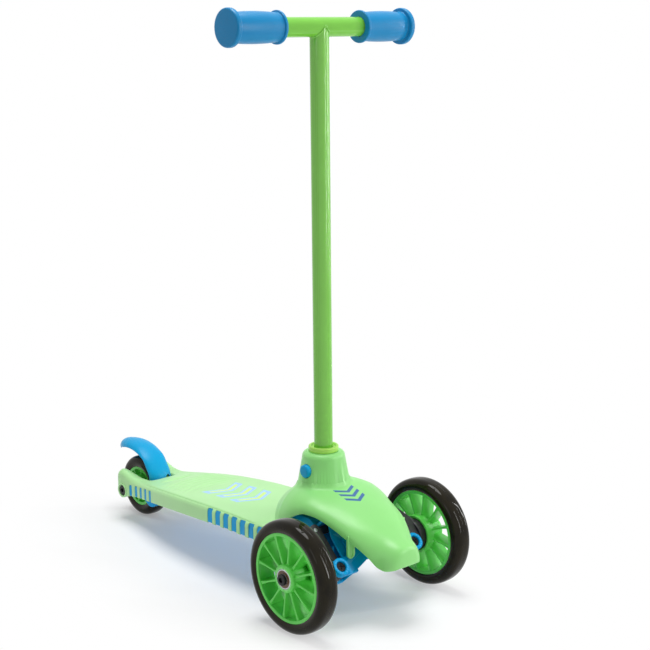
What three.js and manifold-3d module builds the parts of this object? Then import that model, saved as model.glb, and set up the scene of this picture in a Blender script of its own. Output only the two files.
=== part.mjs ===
// Three wheel kids' scooter that steers when the rider leans.
// Millimetres, +Z up, the scooter faces -Y, and +X is the rider's left.
// Pieces are laid out from the front axle: a place named "back" is a distance behind it, and at the
// end the whole model moves so that the middle of its footprint is at the origin.

import * as THREE from 'three';
import { mergeVertices } from 'three/addons/utils/BufferGeometryUtils.js';
import Module from 'manifold-3d';

const wasm = await Module();
wasm.setup();

// Gaps and cuts
const seatGap = 0.3;              // between pieces that touch
const runningGap = 0.5;           // between pieces that turn on each other
const overrun = 2;                // how far a cut runs past what it cuts
const weldTolerance = 0.0001;

// Wheels
const wheelbase = 420;
const frontTrack = 202;           // between the middles of the front tyres
const frontWheelRadius = 62.5;
const frontTyreWidth = 24;
const frontRimRadius = 49.7;      // where the tyre meets the hub
const frontRimWidth = 21;
const rearWheelRadius = 40;
const rearTyreWidth = 24;
const rearRimRadius = 26.2;
const rearRimWidth = 21;
const rimThickness = 2.8;
const hubRadius = 13.5;
const hubLength = 26.8;
const hubRingInner = 19;          // of the front hub's ring around a knuckle's boss
const hubRingReach = 3;
const frontBladeThickness = 2;
const rearBladeThickness = 2;
const bladeInset = 1;             // of a blade's edge behind the rim's edge
const bladeCount = 12;
const rearBladeCount = 8;
const tyreShoulder = 5;           // how far the tread's shoulder drops below its crown
// Tyre outline: shares of the half width, and falls below the crown in twice the shoulder's drop
const tyreShares = [[0.42, 0], [0.84, 0.22], [1, 0.68]];
const bearingRadius = 11;
const bearingWidth = 7;
const hubBoreRadius = 9.2;        // between the bearings
const axleRadius = 4;
const spacerRadius = 6.2;
const axleHeadRadius = 6.2;
const axleHeadHeight = 3.6;
const axleSocketRadius = 3.2;
const axleSocketDepth = 2;
const axleNutRadius = 7.4;
const axleNutHeight = 5.5;
const rearNutRadius = 6.7;

// Handlebar, grips and stem
const barHeight = 634;            // middle of the crossbar above the floor
const tubeRadius = 10.5;
const tubeWall = 1.6;
const stemBack = 62.5;
const stemFootDrop = 5.5;         // of the stem's lower end below the deck's top
const plugLength = 12;
const weldReach = 3;
const weldHeight = 5;
const barReach = 125.4;           // from the middle to a grip's outer face
const gripLength = 68.5;
const gripEndWall = 3;
const gripEndFlangeRadius = 20;
const gripEndFlangeWidth = 6.4;
const gripInnerFlangeRadius = 17.6;
const gripInnerFlangeWidth = 3.4;
const gripRadius = 16.6;          // at the fullest place
const gripWaistRadius = 15.4;     // beside the flanges
const flangeFillet = 2.2;

// Deck moulding
const deckStart = 74;
const forkTail = 12.5;            // of the fork's arms behind the rear axle
const deckHalfWidth = 62;
const deckHeight = 80.5;          // top of the deck at its front
const forkHeight = 58;            // top of the deck where its fork starts
const deckDepth = 20;             // of the deck's side, from its top to the skirt's foot
const deckWall = 3;
const deckEdgeRadius = 7;
const forkHalfGap = 18.5;
const forkWall = 2.5;
const forkGapStart = 46;          // front of the wheel's opening, ahead of the rear axle
const forkGapCorner = 5;
const forkWallStart = 58;
const rearBossRadius = 9.7;
const rearBossReach = 1;
const rearBossWidth = 7;
const rearHeadRecessRadius = 7.2;
const rearHeadRecess = 4.6;
const slotHeight = 15.2;
const frontSlotWidth = 9;
const frontSlotPitch = 15.5;
const frontSlotCount = 7;
const lastFrontSlot = 198;        // back of the axle
const rearSlotWidth = 6;
const rearSlotPitch = 14;
const rearSlotCount = 5;
const rearSlotsAhead = 19;        // of the last one ahead of the rear axle
const dishHalfWidth = 11;
const dishHalfLength = 6;
const dishDepth = 1.6;
const dishAhead = 63;             // of the dish ahead of the rear axle
const deckBossRadius = 4.6;
const deckScrewOut = 38;
const deckScrewRearOut = 27;

// Hood and tower
const noseReach = 73;             // ahead of the axle
const hoodTail = 138;
const hoodHalfWidth = 59;
const hoodRise = 53;              // of the hood's top above the deck
const hoodWall = 3;
const towerFootDrop = 7.5;        // of the tower's foot below the hood's top
const towerRise = 41;             // of the tower's top above its foot
const towerFootRadius = 30.4;
const towerTopRadius = 24.3;
const towerRim = 6;               // height of the rounded rim
const towerBoreRadius = 15.6;
const towerSleeveWall = 2.6;
const towerSleeveHeight = 39;
const hoodTabWidth = 10.6;
const hoodTabThickness = 3;
const hoodTabOut = 38;
const hoodTabFront = 22.5;        // ahead of the axle
const hoodTabDrop = 8.5;          // of its foot below the deck's top

// Collar and latch
const collarRadius = 17;
const collarHeight = 6;
const collarLip = 2;
const collarSleeveHeight = 27;
const buttonDrop = 19;            // of the button's middle below the tower's top
const buttonRadius = 7.5;
const buttonReach = 4.2;          // of the dome beyond the tower
const buttonDome = 1.6;
const buttonLength = 9.2;
const buttonTravel = 3;
const latchPinRadius = 3;
const latchPinDepth = 3;          // of the pin in the button
const latchPinReach = 4.4;        // of the pin inside the stem's bore wall
const springWire = 0.9;
const latchCoilTurns = 4;

// Steering: everything lies about two kingpins that lean forward at the top
const kingpinTilt = 48;           // degrees from upright
const kingpinOut = 56;
const kingpinFront = 28;          // of the kingpin's top ahead of the axle
const kingpinDrop = 11;           // of the kingpin's top below the deck's top
const earRadius = 10;
const earHeight = 8.3;
const barrelRadius = 9.5;
const barrelHeight = 12;
const lipHeight = 5.3;
const lipRadius = 11;
const lipFront = 21.7;            // down the kingpins from their tops
const lipBack = 29;
const headWebFront = 4.2;
const headPlateFront = 7.2;
const headRoof = 3.5;
const barrelTop = 9;
const barrelClear = 45.5;         // from the middle to the head's wall beside a barrel
const armTop = 10.5;
const headEdgeShares = [[0.78, -0.196], [0.3, -0.02], [0.06, 0.2]];
const kingpinRadius = 3.9;
const kingpinHeadRadius = 5.2;
const kingpinHeadHeight = 4;
const kingpinHeadRecess = 1.4;
const kingpinRecessRadius = 6.1;
const bushRadius = 7.2;
const steeringArm = 50;           // from a kingpin to its tie rod pin
const armThickness = 7;
const armEndRadius = 6.6;
const knuckleBossRadius = 18;
const knuckleBossWidth = 11;
const knuckleNoseRadius = 6;
const knuckleNoseHeight = 1;
const neckSink = 1.2;             // how far the neck runs into the boss
// The knuckle's neck: shares of its length, of the barrel's radius up the slope, and of its foot down the pin
const neckShares = [
  { at: 0.1, up: [-0.74, 0.95], down: [0.45, 0.975] },
  { at: 0.61, up: [-0.58, 1.16], down: [0.5, 0.99] },
];
// Its end about the wheel's axle: shares of the boss's radius up the slope and down the pin
const neckEndShares = { up: [-0.64, 0.25], down: [-0.635, 0.194] };
const bossChamfer = 1.5;
const tieBarWidth = 9;
const tieEyeThickness = 5;
const tiePinRadius = 2.4;
const tiePinHeadRadius = 4.4;
const tiePinHeadHeight = 2.2;

// Lower chassis
const trayRearAhead = 60;         // of the tray's end ahead of the rear axle
const trayFront = 79;
const prongTail = 8;              // of the prongs behind the rear axle
const trayHeadroom = 3.7;        // between the tray's rim and the deck's top surface
const trayFloor = 4;
const trayWall = 2.6;
const trayDrop = 0.4;             // of the tray's underside below the skirt
const trayChamferHeight = 3.8;
const trayChamferWidth = 2.6;
const trayPocketRows = 3;
const headPlateHalfWidth = 44;
const headPlateTop = 62;          // along the slope from the kingpins
const headPlateThickness = 2.6;
const headWebHalfWidth = 34;
const headWebTop = 31;
const spineHalfWidth = 37;
const spineRear = 80;
const spinePocket = 50;
const spineRise = 18.5;           // of the spine's top above the deck's
// Side view of the spine: shares of its rear end and of its top
const spineShares = [[-0.1625, 0.46], [0.15, 0.744], [0.5625, 1], [1, 1], [1, 0.606], [0.5, 0.525]];
const bellyRadius = 13.5;
const bellyOut = 33;
const padBack = 165;              // flat pad under the tray where a stand can carry the scooter
const padHalfWidth = 26;
const padHalfLength = 25;
const padHeight = 1;
const socketWall = 4.5;

// Brake
const brakePivotAhead = 50;       // of the pivot ahead of the rear axle
const brakePivotHeight = 48;
const brakeBarrelRadius = 5.6;
const brakePinRadius = 2.5;
const brakeHalfWidth = 16.5;
const brakeWall = 2.4;
const brakeSpringRadius = 3.9;
const brakeCoilTurns = 4;
const springRoom = 6;
const fenderAhead = 43.7;           // of the fender's front ahead of the rear axle
const fenderLow = 55;
const fenderLength = 97.7;
const fenderRise = 44;
const fenderHoleRadius = 3.4;
const fenderHoleOut = 7.5;
const fenderColumns = 3;          // on each side of the crown
// Fender rows from the foot to the tail: shares of its length and rise, and of its half width
const fenderCrownShares = [[0, 0], [0.027, 0.198], [0.105, 0.42], [0.211, 0.655], [0.3295, 0.827],
  [0.47, 0.948], [0.64, 1], [0.804, 0.968], [0.892, 0.885], [0.9655, 0.735], [1, 0.6]];
const fenderEdgeShares = [[0.03, 0.012], [0.064, 0.226], [0.118, 0.41], [0.228, 0.617], [0.346, 0.74],
  [0.48, 0.8], [0.618, 0.81], [0.749, 0.75], [0.8425, 0.72], [0.926, 0.63], [0.9705, 0.56]];
const fenderWidthShares = [1, 1, 1, 1, 1, 1, 1, 0.88, 0.64, 0.38, 0.16];
// Foot of the fender about the pivot, in shares of the barrel's radius
const brakeFootShares = [[-0.2, -0.7], [-0.2, 0.9], [0.85, 1], [1.3, 1.7], [2.05, 1.7], [1.8, 0.9],
  [1.42, -0.2], [0.9, -0.85]];

// Screws under the deck
const screwRadius = 1.9;
const screwHeadRadius = 3.7;
const screwHeadHeight = 2.2;
const screwRecess = 2.5;
const screwLength = 10;

// Facets
const roundSides = 16;
const smallSides = 10;
const bossSides = 6;
const hexSides = 6;
// Multiples of the blades' counts, so that each blade meets one facet
const hubSides = 24;
const hubRingSides = 12;
const tyreSides = 32;
const gripSides = 16;
const hoodPoints = 7;             // of a section from its edge to the middle
const hoodInnerPoints = 4;
const dishRings = 4;

// Colours
const paleGreen = { color: 0xa8e892, roughness: 0.45, metalness: 0 };
const tubeGreen = { color: 0x76c043, roughness: 0.35, metalness: 0.1 };
const hubGreen = { color: 0x4cc04f, roughness: 0.35, metalness: 0 };
const lime = { color: 0xb9e955, roughness: 0.4, metalness: 0 };
const blue = { color: 0x0a8fd6, roughness: 0.4, metalness: 0 };
const deepBlue = { color: 0x0a78bd, roughness: 0.35, metalness: 0 };
const tyreBrown = { color: 0x2b2620, roughness: 0.25, metalness: 0 };
const black = { color: 0x2a282c, roughness: 0.5, metalness: 0 };
const steel = { color: 0xb9bcc0, roughness: 0.3, metalness: 0.9 };
const darkSteel = { color: 0x1d1d20, roughness: 0.4, metalness: 0.7 };

const sides = [{ name: 'left', sign: 1 }, { name: 'right', sign: -1 }];
const half = (length) => length / 2;
const scooter = new THREE.Group();
const fenderFoot = wheelbase - fenderAhead;
// Moves the middle of the footprint, from the hood's nose to the fender's tail, to the origin
const frameShift = half(noseReach - fenderFoot - fenderLength);
const stemFoot = deckHeight - stemFootDrop;

// Shape helpers

// A closed mesh becomes a solid: shared vertices are merged, collapsed faces dropped, faces turned out.
function solid(geometry) {
  const bare = geometry.clone();
  bare.deleteAttribute('normal');
  bare.deleteAttribute('uv');
  const merged = mergeVertices(bare, weldTolerance);
  const place = merged.attributes.position;
  const index = merged.index.array;
  const faces = [];
  let volume = 0;
  const [a, b, c] = [new THREE.Vector3(), new THREE.Vector3(), new THREE.Vector3()];
  for (let i = 0; i < index.length; i += 3) {
    const [p, q, r] = [index[i], index[i + 1], index[i + 2]];
    if (p === q || q === r || r === p) continue;
    faces.push([p, q, r]);
    a.fromBufferAttribute(place, p);
    b.fromBufferAttribute(place, q);
    c.fromBufferAttribute(place, r);
    volume += a.dot(b.cross(c));
  }
  const turned = volume < 0 ? faces.map(([p, q, r]) => [p, r, q]) : faces;
  return new wasm.Manifold(new wasm.Mesh({
    numProp: 3,
    vertProperties: new Float32Array(place.array),
    triVerts: new Uint32Array(turned.flat()),
  }));
}

function addPiece(name, body, finish) {
  const mesh = body.getMesh();
  const geometry = new THREE.BufferGeometry();
  geometry.setAttribute('position', new THREE.BufferAttribute(mesh.vertProperties, mesh.numProp));
  geometry.setIndex(new THREE.BufferAttribute(mesh.triVerts, 1));
  geometry.translate(0, frameShift, 0);
  geometry.computeVertexNormals();
  const piece = new THREE.Mesh(geometry, new THREE.MeshStandardMaterial(finish));
  piece.name = name;
  scooter.add(piece);
}

const join = (first, ...others) => others.reduce((sum, other) => sum.add(other), first);
const cut = (first, ...others) => others.reduce((rest, other) => rest.subtract(other), first);

// Frames: a local shape's x, y and z axes laid along three directions of the scooter
function frame(origin, xAxis, yAxis, zAxis) {
  return new THREE.Matrix4().makeBasis(xAxis, yAxis, zAxis).setPosition(origin);
}
const X = new THREE.Vector3(1, 0, 0);
const Y = new THREE.Vector3(0, 1, 0);
const Z = new THREE.Vector3(0, 0, 1);
const upright = (x, back, z) => frame(new THREE.Vector3(x, back, z), X, Z, Y);
const alongX = (x, back, z) => frame(new THREE.Vector3(x, back, z), Z, X, Y);

// A turned part: a profile of [radius, height] pairs about the local y axis
function turned(profile, count, matrix) {
  const points = profile.map(([radius, height]) => new THREE.Vector2(radius, height));
  return solid(new THREE.LatheGeometry(points, count).applyMatrix4(matrix));
}
function ring(inner, outer, low, high, count, matrix) {
  return turned([[inner, low], [outer, low], [outer, high], [inner, high], [inner, low]], count, matrix);
}
function rod(radius, low, high, count, matrix) {
  return turned([[0, low], [radius, low], [radius, high], [0, high]], count, matrix);
}

function box(lowX, highX, lowY, highY, lowZ, highZ, matrix = new THREE.Matrix4()) {
  const size = [highX - lowX, highY - lowY, highZ - lowZ];
  const middle = [half(lowX + highX), half(lowY + highY), half(lowZ + highZ)];
  return solid(new THREE.BoxGeometry(...size).translate(...middle).applyMatrix4(matrix));
}
const span = (a, b) => (a < b ? [a, b] : [b, a]);

// A plate: an outline in the local x and y, from one height to another along the local z
function plate(shape, low, high, matrix, curveSegments = smallSides) {
  const options = { depth: high - low, bevelEnabled: false, curveSegments };
  return solid(new THREE.ExtrudeGeometry(shape, options).translate(0, 0, low).applyMatrix4(matrix));
}
function polygon(points) {
  return new THREE.Shape(points.map(([x, y]) => new THREE.Vector2(x, y)));
}

// A loft through rings of equal length, each a list of [x, y] at its own height along z
function loft(sections, matrix) {
  const count = sections[0].outline.length;
  const positions = sections.flatMap(({ outline, at }) => outline.flatMap(([x, y]) => [x, y, at]));
  const index = [];
  for (let row = 0; row + 1 < sections.length; row += 1) {
    for (let i = 0; i < count; i += 1) {
      const next = (i + 1) % count;
      const [here, above] = [row * count, (row + 1) * count];
      index.push(here + i, here + next, above + next, here + i, above + next, above + i);
    }
  }
  const outlines = sections.map(({ outline }) => outline.map(([x, y]) => new THREE.Vector2(x, y)));
  const cap = (row, facesUp) => {
    const points = outlines[row];
    for (const [a, b, c] of THREE.ShapeUtils.triangulateShape(points, [])) {
      const up = !THREE.ShapeUtils.isClockWise([points[a], points[b], points[c]]);
      index.push(...(up === facesUp ? [a, b, c] : [a, c, b]).map((i) => i + row * count));
    }
  };
  const clockwise = THREE.ShapeUtils.isClockWise(outlines[0]);
  cap(0, clockwise);
  cap(sections.length - 1, !clockwise);
  const geometry = new THREE.BufferGeometry();
  geometry.setAttribute('position', new THREE.Float32BufferAttribute(positions, 3));
  geometry.setIndex(index);
  return solid(geometry.applyMatrix4(matrix));
}

// A smooth curve through table values that never overshoots them
function smooth(places, values) {
  const count = places.length;
  const slopes = [];
  for (let i = 0; i + 1 < count; i += 1) {
    slopes.push((values[i + 1] - values[i]) / (places[i + 1] - places[i]));
  }
  const tangents = places.map((_, i) => {
    if (i === 0) return slopes[0];
    if (i === count - 1) return slopes[count - 2];
    const [before, after] = [slopes[i - 1], slopes[i]];
    return before * after > 0 ? (before * after) / half(before + after) : 0;
  });
  return (place) => {
    const last = places.length - 2;
    let i = 0;
    while (i < last && place > places[i + 1]) i += 1;
    const span = places[i + 1] - places[i];
    const t = Math.min(Math.max((place - places[i]) / span, 0), 1);
    const [t2, t3] = [t * t, t * t * t];
    return values[i] * (1 + 2 * t3 - 3 * t2) + values[i + 1] * (3 * t2 - 2 * t3)
      + tangents[i] * span * (t3 - 2 * t2 + t) + tangents[i + 1] * span * (t3 - t2);
  };
}

// Deck moulding: sections from the front under the hood to the ends of the fork's arms

const deckRear = wheelbase + forkTail;
const deckLength = deckRear - deckStart;
const deckPlaceShares = [0, 0.011, 0.028, 0.061, 0.128, 0.24, 0.351, 0.463, 0.575, 0.658, 0.742, 0.826,
  0.8675, 0.909, 0.951, 0.979, 0.993, 1];
const deckWidthShares = [0.9, 0.95, 0.975, 0.99, 0.995, 1, 0.992, 0.96, 0.908, 0.84, 0.75, 0.66,
  0.62, 0.602, 0.597, 0.597, 0.585, 0.565];
// Tops are shares of the climb from the fork to the front, and depths of the side's height
const deckTopShares = [0.889, 0.961, 0.989, 1, 1, 1, 0.943, 0.828, 0.674, 0.524, 0.338, 0.141, 0.066, 0.113,
  0.288, 0.399, 0.309, 0.045];
const deckDishShares = [0.889, 0.961, 0.989, 1, 1, 1, 0.943, 0.828, 0.674, 0.524, 0.338, 0.141, -0.002,
  -0.023, 0.023, 0.088, -0.002, -0.181];
const deckDepthShares = [0.849, 0.946, 0.986, 0.998, 0.998, 1.006, 1.01, 1.018, 1.018, 1.026, 1.03, 1.018,
  1.051, 1.203, 1.586, 1.749, 1.497, 0.902];
const deckPlaces = deckPlaceShares.map((share) => deckStart + share * deckLength);
const deckSide = smooth(deckPlaces, deckWidthShares.map((share) => share * deckHalfWidth));
const deckClimb = deckHeight - forkHeight;
const deckTop = smooth(deckPlaces, deckTopShares.map((share) => forkHeight + share * deckClimb));
const deckDish = smooth(deckPlaces, deckDishShares.map((share) => forkHeight + share * deckClimb));
const deckDepths = smooth(deckPlaces, deckDepthShares.map((share) => share * deckDepth));
const deckSkirt = (back) => deckTop(back) - deckDepths(back);

// Right half of a section from the skirt's foot up over the rounded edge to the middle, then mirrored
function deckSection(back, inset, drop, edgePoints) {
  const out = deckSide(back) - inset;
  const top = deckTop(back) - inset;
  const edge = deckEdgeRadius - inset;
  const points = [[out, deckSkirt(back) - drop]];
  for (let i = 0; i <= edgePoints; i += 1) {
    const angle = half(Math.PI) * (i / edgePoints);
    points.push([out - edge + edge * Math.cos(angle), top - edge + edge * Math.sin(angle)]);
  }
  points.push([Math.min(forkHalfGap, half(out)), deckDish(back) - inset]);
  return points.concat(points.map(([x, z]) => [-x, z]).reverse());
}
const lengthwise = upright(0, 0, 0);
const along = (shape, places) => loft(places.map((at) => ({ outline: shape(at), at })), lengthwise);

const trayRear = wheelbase - trayRearAhead;
const prongEnd = wheelbase + prongTail;
const dishBack = wheelbase - dishAhead;
const forkGapFront = wheelbase - forkGapStart;
const forkWallFront = wheelbase - forkWallStart;
const rearAxleX = alongX(0, wheelbase, rearWheelRadius);

function skirtSlots(last, pitch, count, width) {
  const slots = [];
  for (let i = 0; i < count; i += 1) {
    const back = last - i * pitch;
    const low = deckSkirt(back);
    const reach = deckSide(back) + overrun;
    const inner = deckSide(back) - deckEdgeRadius;
    for (const { sign } of sides) {
      const across = span(sign * inner, sign * reach);
      slots.push(box(...across, back - half(width), back + half(width), low - deckWall, low + slotHeight));
    }
  }
  return slots;
}

// Six screws hold the tray to bosses under the deck
const screwPlaces = [
  { name: 'front', share: 0.12, out: deckScrewOut },
  { name: 'middle', share: 0.5, out: deckScrewOut },
  { name: 'rear', share: 0.88, out: deckScrewRearOut },
].map(({ name, share, out }) => ({ name, out, back: trayFront + share * (trayRear - trayFront) }));
const bossGap = trayFloor - trayDrop + seatGap * 3;
const screwSeat = (back) => deckSkirt(back) - trayDrop + screwRecess;
const skinPlaces = deckPlaces.filter((back, i) => (
  back < deckStart + deckHalfWidth || back > forkGapFront || i % 2 === 1
));
const trayPlaces = [
  trayFront, ...skinPlaces.filter((back) => back > trayFront && back < wheelbase), prongEnd,
];

function deckShell() {
  const outer = along((back) => deckSection(back, 0, 0, 3), skinPlaces);
  const hollowPlaces = [deckStart + deckWall, ...trayPlaces, deckRear - deckWall];
  const hollow = along((back) => deckSection(back, deckWall, deckWall, 2), hollowPlaces);
  const reach = deckRear + overrun;
  const lowest = 0;
  const forkWalls = sides.map(({ sign }) => {
    const across = span(sign * forkHalfGap, sign * (forkHalfGap + forkWall));
    return box(...across, forkWallFront, reach, lowest, deckHeight);
  });
  const gap = new THREE.Shape();
  gap.moveTo(-forkHalfGap, reach);
  gap.lineTo(-forkHalfGap, forkGapFront + forkGapCorner);
  gap.quadraticCurveTo(-forkHalfGap, forkGapFront, -forkHalfGap + forkGapCorner, forkGapFront);
  gap.lineTo(forkHalfGap - forkGapCorner, forkGapFront);
  gap.quadraticCurveTo(forkHalfGap, forkGapFront, forkHalfGap, forkGapFront + forkGapCorner);
  gap.lineTo(forkHalfGap, reach);
  const flat = frame(new THREE.Vector3(0, 0, 0), X, Y, Z);
  const wheelOpening = plate(gap, lowest, deckHeight + overrun, flat, 3);
  const dish = solid(new THREE.SphereGeometry(1, smallSides, dishRings)
    .scale(dishHalfWidth, dishHalfLength, dishDepth)
    .translate(0, dishBack, deckTop(dishBack)));
  const armOut = deckSide(wheelbase);
  const bosses = sides.map(({ sign }) => {
    const outer = armOut + rearBossReach;
    return rod(rearBossRadius, sign * (armOut - rearBossWidth), sign * outer, smallSides, rearAxleX);
  });
  const pilots = [];
  const screwBosses = [];
  for (const { back, out } of screwPlaces) {
    for (const { sign } of sides) {
      const foot = deckSkirt(back) + bossGap;
      const stand = upright(sign * out, back, 0);
      screwBosses.push(rod(deckBossRadius, foot, deckTop(back) - half(deckWall), bossSides, stand));
      const pilotTop = screwSeat(back) + screwLength + seatGap;
      pilots.push(rod(screwRadius + seatGap, foot - overrun, pilotTop, bossSides, stand));
    }
  }
  const skin = cut(outer, cut(hollow, ...forkWalls));
  const spineClear = spineHalfWidth + seatGap;
  return cut(
    join(skin, ...bosses, ...screwBosses),
    wheelOpening, dish, ...pilots,
    box(-spineClear, spineClear, deckStart - overrun, spineRear + seatGap, lowest, reach),
    rod(axleRadius + seatGap, -armOut - overrun, armOut + overrun, smallSides, rearAxleX),
    ...sides.map(({ sign }) => rod(
      rearHeadRecessRadius,
      sign * (armOut + rearBossReach - rearHeadRecess), sign * (armOut + rearBossReach + overrun),
      smallSides, rearAxleX,
    )),
    brakePinHole(),
    ...skirtSlots(lastFrontSlot, frontSlotPitch, frontSlotCount, frontSlotWidth),
    ...skirtSlots(wheelbase - rearSlotsAhead, rearSlotPitch, rearSlotCount, rearSlotWidth),
  );
}

// Brake pivot, carried by the tray's prongs on both sides of the wheel's opening
const brakePivotBack = wheelbase - brakePivotAhead;
const brakePivotX = alongX(0, brakePivotBack, brakePivotHeight);
const brakePinHalfLength = forkHalfGap + forkWall + deckWall * 2;
function brakePinHole() {
  const reach = brakePinHalfLength + seatGap;
  return rod(brakePinRadius + seatGap, -reach, reach, smallSides, brakePivotX);
}

addPiece('deck_shell', deckShell(), paleGreen);

// Hood: sections from the nose back over the tower's foot and down onto the deck

const hoodLength = noseReach + hoodTail;
const hoodPlaceShares = [0, 0.007, 0.024, 0.052, 0.09, 0.128, 0.171, 0.213, 0.265, 0.346, 0.403, 0.455,
  0.507, 0.564, 0.63, 0.697, 0.744, 0.796, 0.844, 0.891, 0.938, 0.976, 1];
const hoodWidthShares = [0.2, 0.295, 0.37, 0.432, 0.483, 0.55, 0.627, 0.695, 0.754, 0.805, 0.856, 0.898,
  0.94, 0.975, 1, 0.983, 0.915, 0.788, 0.636, 0.475, 0.305, 0.153, 0.05];
// Heights are shares of the hood's rise above the deck
const hoodTopShares = [0.068, 0.123, 0.174, 0.229, 0.292, 0.368, 0.463, 0.547, 0.642, 0.763, 0.839, 0.897,
  0.945, 0.982, 1, 0.972, 0.897, 0.773, 0.632, 0.471, 0.302, 0.149, 0.033];
const hoodLowShares = [-0.222, -0.259, -0.282, -0.302, -0.259, -0.108, 0.048, 0.169, 0.282, 0.426, 0.519,
  0.572, 0.584, 0.509, 0.333, 0.118, 0.005, 0.005, 0.005, 0.005, 0.005, 0.005, 0.005];
const hoodPlaces = hoodPlaceShares.map((share) => share * hoodLength - noseReach);
const hoodSide = smooth(hoodPlaces, hoodWidthShares.map((share) => share * hoodHalfWidth));
const hoodTop = smooth(hoodPlaces, hoodTopShares.map((share) => deckHeight + share * hoodRise));
const hoodEdge = smooth(hoodPlaces, hoodLowShares.map((share) => deckHeight + share * hoodRise));
const hoodLow = (back) => (
  back < deckStart ? hoodEdge(back) : Math.max(hoodEdge(back), deckTop(back) + seatGap)
);
const hoodRoundness = 2.5;        // exponent of the section's rounded outline

function hoodSection(back, inset, drop, halfPoints) {
  const out = Math.max(hoodSide(back) - inset, weldTolerance);
  const low = hoodLow(back);
  const rise = hoodTop(back) - inset - low;
  const points = [[out, low - drop]];
  for (let i = 0; i <= 2 * halfPoints; i += 1) {
    const angle = Math.PI * (i / (2 * halfPoints));
    const across = Math.sign(Math.cos(angle)) * Math.abs(Math.cos(angle)) ** (2 / hoodRoundness);
    points.push([out * across, low + rise * Math.sin(angle) ** (2 / hoodRoundness)]);
  }
  points.push([-out, low - drop]);
  return points;
}

const hoodHeight = deckHeight + hoodRise;
const towerFootHeight = hoodHeight - towerFootDrop;
const towerTopHeight = towerFootHeight + towerRise;
const buttonHeight = towerTopHeight - buttonDrop;
const collarSeat = towerTopHeight + seatGap;
const collarFoot = collarSeat - collarSleeveHeight;
const towerX = upright(0, stemBack, 0);
const buttonX = alongX(0, stemBack, buttonHeight);
const coneSlope = (towerFootRadius - towerTopRadius) / (towerTopHeight - towerRim - towerFootHeight);
const towerRadius = (z) => towerFootRadius - (z - towerFootHeight) * coneSlope;
const towerBase = hoodHeight - half(towerFootRadius) - hoodWall - overrun;

function frontHood() {
  const outer = along((back) => hoodSection(back, 0, 0, hoodPoints), hoodPlaces);
  const innerEnd = hoodTail - hoodWall * 4;
  const innerPlaces = hoodPlaces.filter((back, i) => i % 2 === 0 && back > -noseReach && back < innerEnd);
  innerPlaces[0] = -noseReach + hoodWall;
  const inner = along((back) => hoodSection(back, hoodWall, overrun, hoodInnerPoints), innerPlaces);
  const rimRadius = towerRadius(towerTopHeight - towerRim);
  const cone = turned([
    [0, towerBase], [towerRadius(towerBase), towerBase], [rimRadius, towerTopHeight - towerRim],
    [rimRadius - towerRim * 0.25, towerTopHeight - towerRim * 0.4],
    [rimRadius - towerRim * 0.65, towerTopHeight - towerRim * 0.07],
    [rimRadius - towerRim, towerTopHeight], [0, towerTopHeight],
  ], roundSides, towerX);
  const sleeveOut = towerBoreRadius + towerSleeveWall;
  const coreTop = towerTopHeight - towerRim - hoodWall;
  const core = turned([
    [sleeveOut, towerBase - overrun], [towerRadius(towerBase) - hoodWall, towerBase - overrun],
    [towerRadius(coreTop) - hoodWall, coreTop], [sleeveOut, coreTop], [sleeveOut, towerBase - overrun],
  ], roundSides, towerX);
  const sleeveFoot = towerTopHeight - towerSleeveHeight;
  const sleeve = ring(
    towerBoreRadius - overrun, sleeveOut, sleeveFoot, coreTop + hoodWall, roundSides, towerX,
  );
  const shell = join(cut(join(outer, cone), inner, core), sleeve);
  const tabs = sides.map(({ sign }) => {
    const tab = new THREE.Shape();
    const radius = half(hoodTabWidth);
    const low = deckHeight - hoodTabDrop + radius;
    const high = hoodLow(-hoodTabFront) + hoodWall * 2;
    tab.moveTo(-radius, high);
    tab.lineTo(-radius, low);
    tab.absarc(0, low, radius, Math.PI, 2 * Math.PI, false);
    tab.lineTo(radius, high);
    const spot = frame(new THREE.Vector3(sign * hoodTabOut, -hoodTabFront, 0), X, Z, Y);
    return plate(tab, -half(hoodTabThickness), half(hoodTabThickness), spot, 4);
  });
  const wallReach = towerRadius(buttonHeight) + buttonReach;
  return cut(
    join(shell, ...tabs),
    rod(towerBoreRadius, sleeveFoot - towerSleeveHeight, towerTopHeight + overrun, roundSides, towerX),
    rod(buttonRadius + seatGap, -wallReach, -sleeveOut - seatGap, roundSides, buttonX),
    rod(latchPinRadius + seatGap, -wallReach, -tubeRadius, smallSides, buttonX),
  );
}
addPiece('front_hood', frontHood(), paleGreen);

// Collar at the tower's top, with the hole that the latch pin passes

function stemCollar() {
  const top = collarSeat + collarHeight;
  const bore = tubeRadius + seatGap;
  const body = turned([
    [bore, collarFoot], [towerBoreRadius - seatGap, collarFoot],
    [towerBoreRadius - seatGap, collarSeat], [collarRadius, collarSeat], [collarRadius, top - collarLip],
    [collarRadius - collarLip * 0.4, top - collarLip * 0.3], [collarRadius - collarLip, top],
    [collarRadius - collarLip * 1.6, top], [collarRadius - collarLip * 2, top - collarLip],
    [bore, top - collarLip], [bore, collarFoot],
  ], roundSides, towerX);
  return cut(body, rod(latchPinRadius + seatGap, -collarRadius, -half(tubeRadius), smallSides, buttonX));
}
addPiece('stem_collar', stemCollar(), lime);

// Handlebar: a T of two tubes with a weld at the joint

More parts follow.
